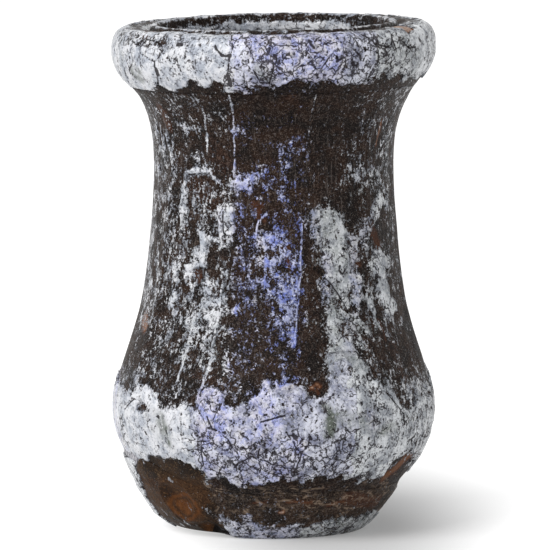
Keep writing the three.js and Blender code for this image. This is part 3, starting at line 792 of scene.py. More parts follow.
# orange, brown and tan glass
stains = [
    ([(-82, 8), (-60, 10), (-36, 10)], 2.6, 0.25),
    ([(-74, 6), (-38, 7)], 3.0, 0.46),
    ([(69, 12.6), (62, 11.4), (54, 9.4)], 1.1, 1.04),
    ([(-73, 33.6), (-68.5, 32.6)], 1.5, 1.12),
    ([(14, 24.7), (14.4, 24.6)], 0.3, 1.75),
    ([(16.3, 25), (16.7, 24.9)], 0.35, 1.85),
    ([(15.6, 23.8), (16, 23.8)], 0.25, 1.6),
    ([(60, 64.5), (57.5, 61)], 0.4, 1.45),
    ([(50, 34), (52, 31)], 0.4, 0.95),
    ([(52, 48), (57, 45.5)], 1.3, 0.74),
    ([(5, 69.5), (9, 68.8)], 1.2, 0.5),
    ([(0, 68), (22, 66)], 2.2, 0.34),
    ([(20, 60), (22, 52)], 2.0, 0.4),
    ([(-60, 67), (-56, 64)], 1.3, 0.72),
    ([(-42, 55), (-31, 53)], 2.2, 0.52),
    ([(-33, 62), (-22, 58)], 2.0, 0.5),
    ([(-8, 52.5), (-5, 50.5)], 1.0, 0.75),
    ([(5, 46), (8, 43)], 0.7, 0.85),
    ([(38, 45), (41, 43)], 0.9, 0.8),
    ([(17, 38), (18, 30)], 1.8, 0.42),
    ([(-30, 26), (-14, 25)], 1.4, 0.48),
    ([(-40, 42), (-36, 41)], 1.2, 0.7),
    ([(56, 30), (60, 24)], 1.6, 0.5),
    ([(36, 6.5), (50, 5.4), (60, 5)], 1.4, 0.7),
    ([(3, 4.6), (3.8, 4.6)], 0.25, 1.9),
    ([(7, 6.4), (12, 6.2), (18, 6.4)], 0.35, 1.06),
    ([(-9, 6.2), (-3, 6.5)], 0.3, 1.04),
    ([(26, 5.6), (34, 5.9)], 0.4, 1.04),
]
scarHalo = {"wide": 8.4, "high": 2.1, "rise": 0.3, "corners": 12}  # the ring of orange round the scar's middle
scarRing = [
    (padForm["scarAngle"] + scarHalo["wide"] * math.cos(turn),
     padForm["scarMiddle"] + scarHalo["rise"] + scarHalo["high"] * math.sin(turn))
    for turn in np.linspace(0, 2 * math.pi, scarHalo["corners"] + 1)]
scarStains = [
    ([(-49, 5.2), (-43, 4.6)], 2.7, 0.5),
    ([(-48.5, 5.2), (-44, 4.6)], 1.3, 0.8),
    (scarRing, 0.5, 0.92),
]
# green-grey smudges on the crust
smudges = [
    ([(-50, 19), (-45, 17.5)], 1.7, 0.36),
    ([(-44, 19), (-41, 16.6)], 1.2, 0.85),
    ([(-40.8, 17.8), (-39.4, 15.8)], 0.45, 1.5),
    ([(19.5, 21), (20.5, 18)], 1.1, 1.45),
    ([(21, 20.5), (26, 20)], 1.0, 1.0),
    ([(28, 19.5), (36, 19)], 1.3, 0.6),
    ([(36, 17.4), (48, 17.8)], 0.7, 0.9),
    ([(-62, 73), (-57, 72.5)], 1.0, 0.9),
    ([(-5, 74), (-2, 73)], 1.0, 0.9),
    ([(45, 75), (62, 74)], 2.0, 0.5),
    ([(-88, 22), (-78, 15)], 2.4, 0.32),
]
# violet-blue crust above the belly
violets = [
    ([(-12.5, 66), (-12.5, 28)], 2.2, 0.9),
    ([(5, 66), (4, 28)], 3.6, 1.0),
    ([(15, 62), (17, 46)], 1.5, 0.7),
    ([(24, 44), (22, 37)], 0.9, 0.8),
    ([(40, 47), (38, 36)], 1.0, 0.6),
    ([(49, 50), (45, 46)], 1.0, 0.5),
    ([(-26, 51), (-25, 49)], 0.5, 0.35),
    ([(33, 34), (32, 30)], 0.9, 0.45),
    ([(36, 20), (38, 18)], 0.9, 0.5),
    ([(172, 50), (174, 38)], 1.2, 0.5),
    ([(-24, 23), (-20, 20), (-23, 17.5)], 2.2, 0.76),
    ([(-6, 24.5), (-2, 19)], 2.0, 0.84),
    ([(8, 16), (9, 14.5)], 1.2, 0.85),
    ([(-86, 24), (-80, 13)], 3.0, 0.42),
]
# the gash over the chip at the foot, and the chip
padBreaks = [
    ([(-34, 1.0), (-29.5, 0.6)], 1.1, 1.0),
    ([(-34, 2.6), (-31, 1.8)], 0.4, 1.0),
]
# the tan spot at the right end of the mouth, bare of crust, and a weaker one at the left end
tanSpot = [(59, 78.9), (63.5, 78.9)]
mouthStains = [
    (tanSpot, 0.6, 1.45),
    ([(-60, 78.9), (-52, 78.9)], 0.7, 0.8),
]
# two arcs inside the mouth, at the back
boreCrust = [
    ([(140, 77.6), (160, 77.4), (185, 77.5), (206, 77.3)], 0.72, 1.0),
    ([(209, 77.3), (225, 77.5), (238, 77.3)], 0.6, 0.95),
]


def loosened(points, angle, height, radius, amount, seed):
    # angle and height moved about by noise, so that what is drawn with them gets ragged edges
    side = amount * billow(points, 1.7, seed, 3)
    rise = amount * billow(points, 1.7, seed + 50, 3)
    return angle + side / (radiansPerDegree * radius), height + rise


def pitting(points, size, seed, share):
    # round pits: the inside of small balls about some of the seed points
    near, number = shards(points, size, seed)
    reach = size * (0.1 + 0.12 * number)
    return (1 - ease(near, reach * 0.6, reach)) * (number > 1 - share)


def clumped(cover, clumps, amount):
    # noise that counts most where the crust is half there
    return np.clip(cover + amount * clumps * (1 - np.abs(2 * cover - 1)), 0, 1)


def within(value, low, high, soft):
    # 1 between low and high, with soft ends
    return ease(value, low - soft, low + soft) * (1 - ease(value, high - soft, high + soft))


def areas(turn, height, rows):
    # sum of amounts, each inside a span of angles and a span of heights with soft ends
    total = 0
    for amount, turns, heights in rows:
        total = total + amount * within(turn, *turns) * within(height, *heights)
    return total


def padTop(angle):
    return wallForm["keelHeight"] + padForm["smearHeight"] * smearShare(angle)


def inPatch(angle, height, clumps):
    # 1 on the brown patch
    side = np.interp(height, [h for h, _ in patchSide], [a for _, a in patchSide])
    share = ease(angle - side + 2.2 * clumps, -1.2, 1.2)
    share = share * (1 - ease(angle - patchRight + 2.5 * clumps, -2.5, 2.5))
    return share * (1 - ease(height - turnLine(patchTop, angle) + 0.4 * clumps, -0.35, 0.35))


def noisyPlace(angle, radius, height, look):
    # places, angle and height shaken by noise, the angle from -180 to 180, small clumps, and wide patches
    points = atJar(angle, radius, height)
    a, h = loosened(points, angle, height, radius, look["ragged"], look["seed"] + 1)
    clumps = billow(points, look["clumpSize"], look["seed"] + 11)
    patches = billow(points, look["patchSize"], look["seed"] + 21, 3)
    return points, a, h, turned(a), clumps, patches


def drawnCracks(points, angle, radius, height, chains, look):
    # cracks drawn as strokes, hardly shaken
    a, h = loosened(points, angle, height, radius, steadyShake, look["seed"] + 41)
    crack = np.zeros_like(radius)
    bold = [(line, half, look["crackStrength"] * amount) for line, half, amount in chains]
    strokes(crack, a, h, radius, bold, 0.14)
    return crack


def marksOf(cover, violet, tone, stain, crack, craze, fold):
    zero = np.zeros_like(cover)
    values = {"cover": cover, "violet": violet, "tone": tone, "stain": stain, "crack": crack,
              "craze": craze, "fold": fold}
    return {label: np.clip(value + zero, 0, 2) for label, value in values.items()}


# What each surface's marks are made from. A row of an area is an amount, (angle from, to, softness) and
# (height from, to, softness). Seeds are the start of a row of noise seeds.
steadyShake = 0.16
everywhere = (-999, 999, 1)
waistBand = (25, 56, 4)
wallLook = {
    "seed": 20,
    "ragged": 0.45,
    "clumpSize": 1.5,
    "patchSize": 5.0,
    "clumping": 0.34,
    "whole": 0.975,  # cover where the crust is whole
    "thinner": [
        (-0.09, (-27, 999, 7), everywhere),
        (-0.03, (20, 999, 10), everywhere),
        (-0.08, (53, 999, 9), everywhere),
    ],
    "haze": [  # cover between the tongues; some rows also paint sheen as pale specks
        (0.09, everywhere, everywhere),
        # the lit left of the waist: haze with painted sheen
        (0.31, (-64, -22, 5), waistBand),
        (0.16, (-20, 13, 4), waistBand),
        (0.08, (-21, -5, 3), waistBand),
        (0.1, (40, 76, 6), waistBand),
        (-0.07, (-16, 34, 4), (58, 999, 2)),
        (-0.06, (-22, 14, 4), (27, 35, 2)),
        (-0.07, (-60, -24, 4), (22, 33, 2)),
        # both edges, where light grazes: haze with painted sheen
        (0.26, (-94, -62, 6), (33, 67, 4)),
        (0.12, (66, 94, 6), (34, 999, 4)),
    ],
    "hazeOffWaist": [
        # the lit left of the neck: haze with painted sheen
        (0.12, (-62, -32, 6), everywhere),
        (0.1, (44, 76, 8), everywhere),
    ],
    "fringe": [  # more haze just over the belly's crust
        (0.07, everywhere, everywhere),
        (0.16, (-999, -27, 7), everywhere),
        (0.2, (40, 999, 6), everywhere),
    ],
    "fringeHeight": 6,
    "backHaze": 0.13,
    "leastHaze": 0.04,
    "tone": [
        (0.03, (21, 999, 9), everywhere),
        (0.12, (53, 999, 9), everywhere),
        (0.2, (-70, -20, 4), waistBand),
        (0.5, (16, 50, 4), waistBand),
    ],
    "craze": [
        (0.2, everywhere, everywhere),
        (0.45, (-30, 32, 3), (-999, 18, 3)),
        (0.16, (-28, 40, 5), (-999, 15.5, 2.5)),
        (0.06, (30, 999, 10), everywhere),
    ],
    "backCraze": 0.25,
    "violetStrength": 1.15,
    "crackStrength": 1.18,
    "pitSize": 1.7,
    "pitShare": 0.22,
    "fleckSize": 1.2,
    "fleckStrength": 1.4,
}
# how the tongues' chains are drawn: (chains, times their half width, times their amount)
tongueLists = (
    (neckCrust, 1.0, 1.0), (leftCrust, 1.17, 1.0), (middleCrust, 1.1, 0.75), (rightCrust, 1.25, 0.9),
    (backCrust, 1.1, 1.0))
tongueLook = {
    "thin": 0.26,  # chains up to this half width are lines, and the others are ragged tongues
    "thinStrength": 1.4,
    "thinMost": 0.9,
    "broadMost": 0.97,
    "haloFrom": 0.3,  # chains wider than this get a weak halo
    "haloWiden": 1.2,
    "haloReach": 0.8,
    "haloShare": 0.55,
}
rollLook = {
    "seed": 120,
    "ragged": 0.4,
    "clumpSize": 1.4,
    "patchSize": 5.0,
    "clumping": 0.35,
    "whole": 0.95,
    "thinner": [
        (-0.05, (-14, 999, 4), everywhere),
        (-0.05, (28, 999, 8), everywhere),
    ],
    "leftEnd": (-122, -50, 10),  # at this end of the mouth the crest is barer, and the lip's seam is pale
    "leastCover": 0.12,
    "violetSpan": (-15.6, 26),
    "tone": [
        (0.16, (34, 999, 8), everywhere),
        (0.34, (-999, -67, 7), everywhere),
    ],
    "craze": [
        (0.2, everywhere, everywhere),
        (0.42, (-15.5, 999, 1.5), everywhere),
        (0.18, (29, 999, 5), everywhere),
        (-0.5, (52, 999, 6), everywhere),
    ],
    "crackStrength": 1.1,
    "pitSize": 1.7,
    "pitShare": 0.2,
    "fleckSize": 1.15,
    "fleckShare": 0.44,
    "fleckStrength": 1.4,
}
padLook = {
    "seed": 220,
    "ragged": 0.35,
    "clumpSize": 1.3,
    "patchSize": 4.0,
    "clumping": 0.35,
    "whole": 0.82,
    "craze": 0.5,
    "pitSize": 1.6,
    "pitShare": 0.25,
}
boreLook = {
    "seed": 320,
    "ragged": 0.3,
    "clumpSize": 1.3,
    "patchSize": 5.0,
    "clumping": 0.4,
    "cover": 0.18,
    "lipCover": 0.58,
    "craze": 0.3,
}


def drawTongues(cover, a, h, steadyAngle, steadyHeight, radius):
    look = tongueLook
    for chains, width, strength in tongueLists:
        halo = [(line, half * look["haloWiden"] + look["haloReach"], amount * look["haloShare"])
                for line, half, amount in chains if half > look["haloFrom"]]
        strokes(cover, a, h, radius, halo, 1.1)
        broad = [(line, half * width, min(amount * strength, look["broadMost"]))
                 for line, half, amount in chains if half > look["thin"]]
        strokes(cover, a, h, radius, broad, 0.45)
        thin = [(line, half, min(amount * look["thinStrength"], look["thinMost"]))
                for line, half, amount in chains if half <= look["thin"]]
        strokes(cover, steadyAngle, steadyHeight, radius, thin, 0.12)
    strokes(cover, a, h, radius, bareSpots, 0.4, wipes=True)


def wallMarks(angle, height):
    look = wallLook
    radius = outerRadius(height)
    points, a, h, t, clumps, patches = noisyPlace(angle, radius, height, look)
    low, top = turnLine(bellyLow, a), turnLine(bellyTop, a)
    patch = inPatch(t, h, clumps)
    belly = ease(h - low + 0.9 * clumps, -0.6, 0.7) * ease(top - h + 1.1 * clumps, -0.9, 1.1)
    belly = belly * ease(h - padTop(a), 0.3, 0.6) * (1 - patch)
    full = look["whole"] + areas(t, h, look["thinner"]) + 0.07 * patches * ease(np.abs(t + 30), 10, 30)
    waist = within(h, *waistBand)
    # haze between the tongues, with painted sheen on the left and along the edges
    haze = areas(t, h, look["haze"]) + areas(t, h, look["hazeOffWaist"]) * (1 - waist)
    haze = haze + look["backHaze"] * ease(np.abs(t), 84, 110) + 0.13 * patches * (0.4 + waist)
    haze = haze + areas(t, h, look["fringe"]) * (1 - ease(h - top, 0, look["fringeHeight"]))
    haze = haze * ease(h - low, -1.2, 0.2) + look["leastHaze"]
    cover = np.maximum(full * belly, haze)
    steadyAngle, steadyHeight = loosened(points, angle, height, radius, steadyShake, look["seed"] + 41)
    drawTongues(cover, a, h, steadyAngle, steadyHeight, radius)
    cover = clumped(cover, clumps, look["clumping"]) * (1 - 0.96 * patch)
    violet = within(t, -27.8, 9, 0.6 + 4 * (t > 0)) * (1 - ease(h, 25, 27))
    violet = violet * np.clip(0.55 + 0.75 * patches, 0, 0.8)
    deeper = [(line, half, amount * look["violetStrength"]) for line, half, amount in violets]
    strokes(violet, a, h, radius, deeper, 0.9)
    tone = areas(t, h, look["tone"]) + 0.15 * patches
    strokes(tone, a, h, radius, smudges, 0.9)
    stain = 0.12 + 0.22 * patches
    strokes(stain, a, h, radius, stains, 0.8)
    crack = drawnCracks(points, angle, radius, height, bellyCracks + waistCracks, look)
    onCrust = ease(cover, 0.6, 0.8)
    crack = np.maximum(crack, pitting(points, look["pitSize"], look["seed"] + 61, look["pitShare"]) * onCrust)
    share = 0.14 + 0.54 * within(t, -26, 72, 8) + 0.12 * ease(t, 22, 40)
    flecks = look["fleckStrength"] * pitting(points, look["fleckSize"], look["seed"] + 64, share)
    crack = np.maximum(crack, flecks * onCrust * (1 - ease(h, 25, 29)))
    craze = areas(t, h, look["craze"]) + look["backCraze"] * ease(np.abs(t), 80, 110) + 0.15 * patches
    fold = (1 - ease(h, 8.8, 10.2)) * (1 - patch) * np.clip(0.55 + 0.6 * patches, 0, 1) + 2 * patch
    return marksOf(cover, violet, tone, stain, crack, craze, fold)


def rollMarks(angle, radius, height):
    look = rollLook
    points, a, h, t, clumps, patches = noisyPlace(angle, radius, height, look)
    full = look["whole"] + areas(t, h, look["thinner"])
    cover = full * ease(h - turnLine(rimEdge, a) + 0.9 * clumps, -0.6, 0.8)
    strokes(cover, a, h, radius, [(tanSpot, 0.5, 0.85)], 0.4, wipes=True)
    crest = ease(rollCrown + 1.7 - radius, -0.6, 0.9) * ease(height, 77.3, 78.4)
    behind = ease(np.abs(t), 75, 110)
    leftEnd = within(t, *look["leftEnd"])
    cover = cover * (1 - crest * (0.42 + 0.2 * behind + 0.2 * patches + 0.2 * leftEnd))
    cover = cover * (1 - 0.32 * within(t, -78, -36, 8) * within(height, 76.9, 78.6, 0.5))
    cover = np.maximum(cover, 0.85 * leftEnd * ease(rollCrown - 0.5 - radius, -0.3, 0.3))
    cover = np.maximum(clumped(cover, clumps, look["clumping"]), look["leastCover"] + 0.05 * patches)
    violet = within(t, *look["violetSpan"], 0.7 + 2 * (t > 0)) * np.clip(0.55 + 0.8 * patches, 0.1, 0.8)
    tone = areas(t, h, look["tone"]) + 0.2 * patches
    strokes(tone, a, h, radius, smudges, 0.5)
    stain = 0.12 + 0.2 * patches
    strokes(stain, a, h, radius, mouthStains, 0.4)
    crack = drawnCracks(points, angle, radius, height, rimCracks, look)
    pits = pitting(points, look["pitSize"], look["seed"] + 61, look["pitShare"])
    flecks = look["fleckStrength"] * pitting(points, look["fleckSize"], look["seed"] + 64, look["fleckShare"])
    crack = np.maximum(crack, np.maximum(pits, flecks) * ease(cover, 0.6, 0.8))
    craze = areas(t, h, look["craze"]) + 0.2 * patches
    return marksOf(cover, violet, tone, stain, crack, craze, 0)


def padMarks(angle, radius, height):
    look = padLook
    points, a, h, t, clumps, patches = noisyPlace(angle, radius, height, look)
    patch = inPatch(t, h, clumps)
    foot = ease(turnLine(footTop, a) - h + 0.8 * clumps, -0.6, 0.7)
    upper = ease(h - turnLine(bellyLow, a) + 0.9 * clumps, -0.6, 0.7)
    cover = (look["whole"] + 0.12 * ease(-t, 56, 62)) * np.maximum(foot, upper) * (1 - patch)
    haze = (0.1 + 0.05 * patches) * (1 - patch) + 0.03
    cover = np.maximum(clumped(cover, clumps, look["clumping"]), haze)
    strokes(cover, a, h, radius, patchBits, 0.15)
    violet = 0.75 * within(t, -22, 10, 3) * (0.6 + 0.5 * patches)
    tone = (0.3 * ease(t, 10, 25) + 0.2 * patches + 0.4) * (1 - ease(-t, 54, 60))
    stain = 0.15 + 0.2 * patches + 0.25 * patch * patches
    strokes(stain, a, h, radius, stains, 0.6)
    strokes(stain, a, h, radius, scarStains, 0.7)
    crack = pitting(points, look["pitSize"], look["seed"] + 61, look["pitShare"]) * ease(cover, 0.5, 0.7)
    strokes(crack, a, h, radius, padBreaks, 0.3)
    fold = 0.34 + 0.7 * patches + 0.45 * within(h, 4.6, 8.4, 0.9) + 0.3 * ease(t, 2, 30)
    fold = np.clip(fold, 0, 1) * (1 - patch) + 2 * patch
    return marksOf(cover, violet, tone, stain, crack, look["craze"], fold)


def boreMarks(angle, radius, height):
    # the inside: a pale lip, two arcs of crust below it at the back, brown glass further down
    look = boreLook
    points, a, h, t, clumps, patches = noisyPlace(angle, radius, height, look)
    crest = ease(h, lipHeight - 0.5, lipHeight - 0.1)
    cover = look["cover"] + look["lipCover"] * crest + 0.1 * patches + 0.3 * crest * within(t, -122, -50, 12)
    halo = [(line, half + 0.5, amount * 0.5) for line, half, amount in boreCrust]
    strokes(cover, a % 360, h, radius, halo, 0.5)
    strokes(cover, a % 360, h, radius, boreCrust, 0.4)
    stain = 0.25 + 0.2 * billow(points, 6.0, look["seed"] + 31, 3)
    return marksOf(clumped(cover, clumps, look["clumping"]), 0, 0.1, stain, 0, look["craze"], 0)


# heights of the relief, in mm
reliefForm = {
    "fineLines": 0.04,
    "broadLines": 0.06,
    "uneven": 0.06,
    "bellyProud": 0.13,
    "lip": 0.05,
    "padWrinkles": 0.1,
    "scarRings": 0.06,
    "crustThick": 0.3,
    "crackDeep": 0.2,
    "crustMost": 0.42,
}


def glassRelief(points):
    # drawn lines that run up the jar, over a soft unevenness
    form = reliefForm
    tall = points * np.array([1, 1, 0.09])
    lines = form["fineLines"] * cloud(tall, 0.8, 401) + form["broadLines"] * cloud(tall, 1.9, 402)
    return lines + form["uneven"] * billow(points, 7.0, 403, 2)


def wallRelief(angle, height):
    # drawn glass, still at both its seams; the belly stands a little proud of the plain outline
    points = atJar(angle, outerRadius(height), height)
    still = ease(height - padTop(angle), 0.9, 2.6) * (1 - ease(height, 67.5, 69.6))
    proud = reliefForm["bellyProud"] * ease(height, 10, 15) * (1 - ease(height, 22, 30))
    return (glassRelief(points) + proud) * still


def rollRelief(points, height):
    # soft unevenness, still at the shelf
    return reliefForm["uneven"] * (1 + billow(points, 5.0, 441, 3)) * ease(height, 70.2, 71.6)


def padRelief(angle, radius, height, points):
    # level wrinkles, and rings round the middle of the scar
    wrinkles = reliefForm["padWrinkles"] * billow(points * np.array([1, 1, 2.2]), 2.4, 451, 4)
    sideways = turned(angle - padForm["scarAngle"]) * radiansPerDegree * radius
    away = np.hypot(sideways, height - padForm["scarMiddle"])
    rings = np.cos(2 * math.pi * away / padForm["ringStep"]) * (1 - ease(away, 2.6, 3.8))
    rings = reliefForm["scarRings"] * rings
    smooth = 0.35 + 0.65 * ease(away, 2.5, 4.5)
    return (wrinkles * smooth + rings) * ease(height, 0.0, 1.4) * ease(padTop(angle) - height, 0.2, 1.6)


def crustLift(points, marks):
    # height of the crust over the glass: thick where it is whole, thin at its edges, sunk at cracks and pits
    form = reliefForm
    whole = ease(marks["cover"], 0.5, 0.85)
    thick = form["crustThick"] + 0.05 * billow(points, 3.0, 411, 3) + 0.025 * billow(points, 0.8, 421, 2)
    lift = 0.03 + whole * (thick - form["crackDeep"] * np.clip(marks["crack"], 0, 1))
    return np.clip(lift, -0.02, form["crustMost"])


# Meshes from grids

def lifted(base, lift):
    # every point of a grid moved out along its normal, which is across the columns' way and the rows' way
    sideways = np.roll(base, -1, 1) - np.roll(base, 1, 1)
    upwards = np.gradient(base, axis=0)
    normal = np.cross(sideways, upwards)
    normal = normal / np.maximum(np.linalg.norm(normal, axis=-1, keepdims=True), 1e-9)
    return base + normal * np.asarray(lift)[..., None]


def makeMesh(name, points, quads, triangles, marks):
    mesh = bpy.data.meshes.new(name)
    faces = [quads.ravel()] + ([triangles.ravel()] if len(triangles) else [])
    corners = np.concatenate(faces).astype(np.int32)
    starts = np.concatenate([np.arange(len(quads)) * 4, len(quads) * 4 + np.arange(len(triangles)) * 3])
    mesh.vertices.add(len(points))
    mesh.vertices.foreach_set("co", (points * mm).astype(np.float32).ravel())
    mesh.loops.add(len(corners))
    mesh.loops.foreach_set("vertex_index", corners)
    mesh.polygons.add(len(starts))
    mesh.polygons.foreach_set("loop_start", starts.astype(np.int32))
    mesh.polygons.foreach_set("use_smooth", np.ones(len(starts), bool))
    for mark, values in marks.items():
        mesh.attributes.new(mark, "FLOAT", "POINT").data.foreach_set("value", values.astype(np.float32))
    mesh.update(calc_edges=True)
    mesh.validate()
    return mesh


def closedSkin(name, grid, poles, marks):
    # rings of points joined one to the next; with poles each end closes in a point, else the ends meet
    rows, columns = grid.shape[:2]
    last = rows if poles is None else rows - 1
    j, i = np.meshgrid(np.arange(last), np.arange(columns), indexing="ij")
    j, i = j.ravel(), i.ravel()
    above, beside = (j + 1) % rows, (i + 1) % columns
    quads = np.stack([j * columns + i, j * columns + beside, above * columns + beside, above * columns + i], 1)
    points = grid.reshape(-1, 3)
    values = {mark: value.ravel() for mark, value in marks.items()}
    if poles is None:
        return makeMesh(name, points, quads, np.empty((0, 3), int), values)
    points = np.concatenate([points, np.array(poles, float)])
    ring = np.arange(columns)
    low = np.stack([np.full(columns, rows * columns), (ring + 1) % columns, ring], 1)
    top = (rows - 1) * columns
    high = np.stack([np.full(columns, rows * columns + 1), top + ring, top + (ring + 1) % columns], 1)
    values = {mark: np.concatenate([value, [value[0], value[-1]]]) for mark, value in values.items()}
    return makeMesh(name, points, quads, np.concatenate([low, high]), values)


def plateMesh(name, top, bottom, keep, marks):
    # a plate of crust: a sheet over the kept cells of a grid, a sheet under it, and walls round its edges
    rows, columns = top.shape[:2]
    j, i = np.nonzero(keep)
    beside = (i + 1) % columns
    row, above = j * columns, (j + 1) * columns
    corners = np.stack([row + i, row + beside, above + beside, above + i], 1)
    under = rows * columns
    fenced = np.zeros((rows + 1, columns), bool)
    fenced[1:-1] = keep
    quads = [corners, corners[:, ::-1] + under]
    sides = (~fenced[j, i], ~keep[j, beside], ~fenced[j + 2, i], ~keep[j, (i - 1) % columns])
    for side, isEdge in enumerate(sides):
        first, second = corners[isEdge, side], corners[isEdge, (side + 1) % 4]
        quads.append(np.stack([first + under, second + under, second, first], 1))
    quads = np.concatenate(quads)
    used, index = np.unique(quads, return_inverse=True)
    points = np.concatenate([top.reshape(-1, 3), bottom.reshape(-1, 3)])[used]
    values = {mark: np.concatenate([value.ravel(), value.ravel()])[used] for mark, value in marks.items()}
    return makeMesh(name, points, index.reshape(quads.shape), np.empty((0, 3), int), values)


leastNeighbours = 5


def tidied(keep):
    # lone cells and thin threads dropped: a cell stays where enough of the nine round it do
    padded = np.pad(keep.astype(int), ((1, 1), (0, 0)))
    total = sum(np.roll(padded, turn, 1)[1 + rise:padded.shape[0] - 1 + rise]
                for turn in (-1, 0, 1) for rise in (-1, 0, 1))
    return keep & (total >= leastNeighbours)


def nodeWindow(name):
    # middle angle, half span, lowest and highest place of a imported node, seen from the jar's axis
    mesh = frame["nodes"][name].data
    places = np.empty(len(mesh.vertices) * 3)
    mesh.vertices.foreach_get("co", places)
    x, y, z = places.reshape(-1, 3).T / mm
    centre = math.degrees(math.atan2(x.mean(), -y.mean()))
    off = turned(np.degrees(np.arctan2(x, -y)) - centre)
    return centre + (off.min() + off.max()) / 2, (off.max() - off.min()) / 2, z.min(), z.max()


def owners(names, angle, height, radius, reach, tall):
    # number of the node whose window is nearest to each vertex, or -1 where all are further than the reach
    best = np.full(angle.shape, farAway)
    owner = np.full(angle.shape, -1)
    for number, name in enumerate(names):
        middle, half, low, high = nodeWindow(name)
        away = (np.abs(turned(angle - middle)) - half) * radiansPerDegree * radius
        if tall:
            away = np.maximum(away, np.maximum(low - height, height - high))
        owner = np.where(away < best, number, owner)
        best = np.minimum(best, away)
    return np.where(best > reach, -1, owner)


slotOf = {part["node"]: part["material_slot"] for part in frame["record"]["subparts"]}
crustLimits = {"reach": 25.4, "lowest": 0.02}


def settled(grid):
    # nothing reaches below the resting face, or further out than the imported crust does
    radius = np.hypot(grid[..., 0], grid[..., 1])
    share = np.minimum(1, crustLimits["reach"] / np.maximum(radius, 1e-6))
    grid = grid * np.stack([share, share, np.ones_like(share)], -1)
    grid[..., 2] = np.maximum(grid[..., 2], crustLimits["lowest"])
    return grid


def addPiece(name, mesh, packedNode):
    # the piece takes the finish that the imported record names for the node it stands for
    slotName = slotOf[packedNode]
    piece = bpy.data.objects.new(name, mesh)
    bpy.context.scene.collection.objects.link(piece)
    mesh.materials.append(finishes[slotName])
    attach(piece, "root")
    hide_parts(packedNode)


# Finishes

def inMillimetres(tree, tall=1.0):
    # the piece's own place in millimetres; tall below 1 draws a pattern out upwards, above 1 sideways
    place = node(tree, "ShaderNodeTexCoord").outputs["Object"]
    return node(tree, "ShaderNodeMapping", {"Vector": place, "Scale": (1000, 1000, 1000 * tall)}).outputs[0]


def bentBy(tree, vector, amount, scale):
    # a vector shaken by noise, so that cell edges aren't straight
    noise = node(tree, "ShaderNodeTexNoise", {"Vector": vector, "Scale": scale, "Detail": 3.0})
    middle = (0.5, 0.5, 0.5)
    centred = node(tree, "ShaderNodeVectorMath", {0: noise.outputs["Color"], 1: middle}, operation="SUBTRACT")
    scaled = node(tree, "ShaderNodeVectorMath", {0: centred.outputs[0], "Scale": amount}, operation="SCALE")
    return node(tree, "ShaderNodeVectorMath", {0: vector, 1: scaled.outputs[0]}, operation="ADD").outputs[0]


def summed(tree, parts):
    # parts are (value, share) pairs, added up
    total = 0.0
    for value, share in parts:
        added = node(tree, "ShaderNodeMath", {0: value, 1: share, 2: total}, operation="MULTIPLY_ADD")
        total = added.outputs[0]
    return total


def coverGroup():
    # where crust is left: the cover value against a grain whose values are spread evenly over 0..1,
    # so that cover is the share of the surface that crust takes; depth is how far inside the crust a point lies
    outputs = [("Mask", "NodeSocketFloat"), ("Depth", "NodeSocketFloat")]
    group, given, result = newGroup("crustCover", [("Cover", "NodeSocketFloat", 0.0)], outputs)
    inMm = inMillimetres(group)
    fine = speckle(group, inMm, 2.9, 3, 0.66, 0.7)
    tall = speckle(group, inMillimetres(group, 0.4), 1.9, 2, 0.5)
    clumps = speckle(group, inMm, 0.9, 2, 0.5)
    grain = summed(group, [(fine, 0.5), (tall, 0.28), (clumps, 0.22)])
    even = node(group, "ShaderNodeMapRange", {"Value": grain, "From Min": 0.385, "From Max": 0.615}).outputs[0]
    depth = maths(group, "SUBTRACT", given["Cover"], even)
    group.links.new(band(group, depth, -0.05, 0.05), result["Mask"])
    group.links.new(depth, result["Depth"])
    return group


glassLook = {
    "dark": (36, 31, 30),
    "brown": (58, 47, 42),
    "pits": (22, 18, 18),
    "dust": (100, 90, 84),
    "scratches": (110, 102, 98),
    "paleSpecks": (122, 113, 108),
    "darkSpecks": (17, 14, 14),
    "rust": (84, 52, 37),
    "orange": (136, 88, 54),
    "tan": (176, 151, 136),
    "warmTan": (200, 148, 106),
    "deepTan": (128, 96, 76),
    "wrinkles": (154, 134, 116),
    "velvet": (38, 29, 23),  # the even brown of the patch at the foot
    "velvetPale": (68, 50, 36),
    "velvetDust": (98, 79, 60),
    "velvetPits": (30, 23, 19),
    "amber": (112, 68, 34),
    "paleAmber": (150, 104, 60),
    "cracks": (20, 16, 15),
}


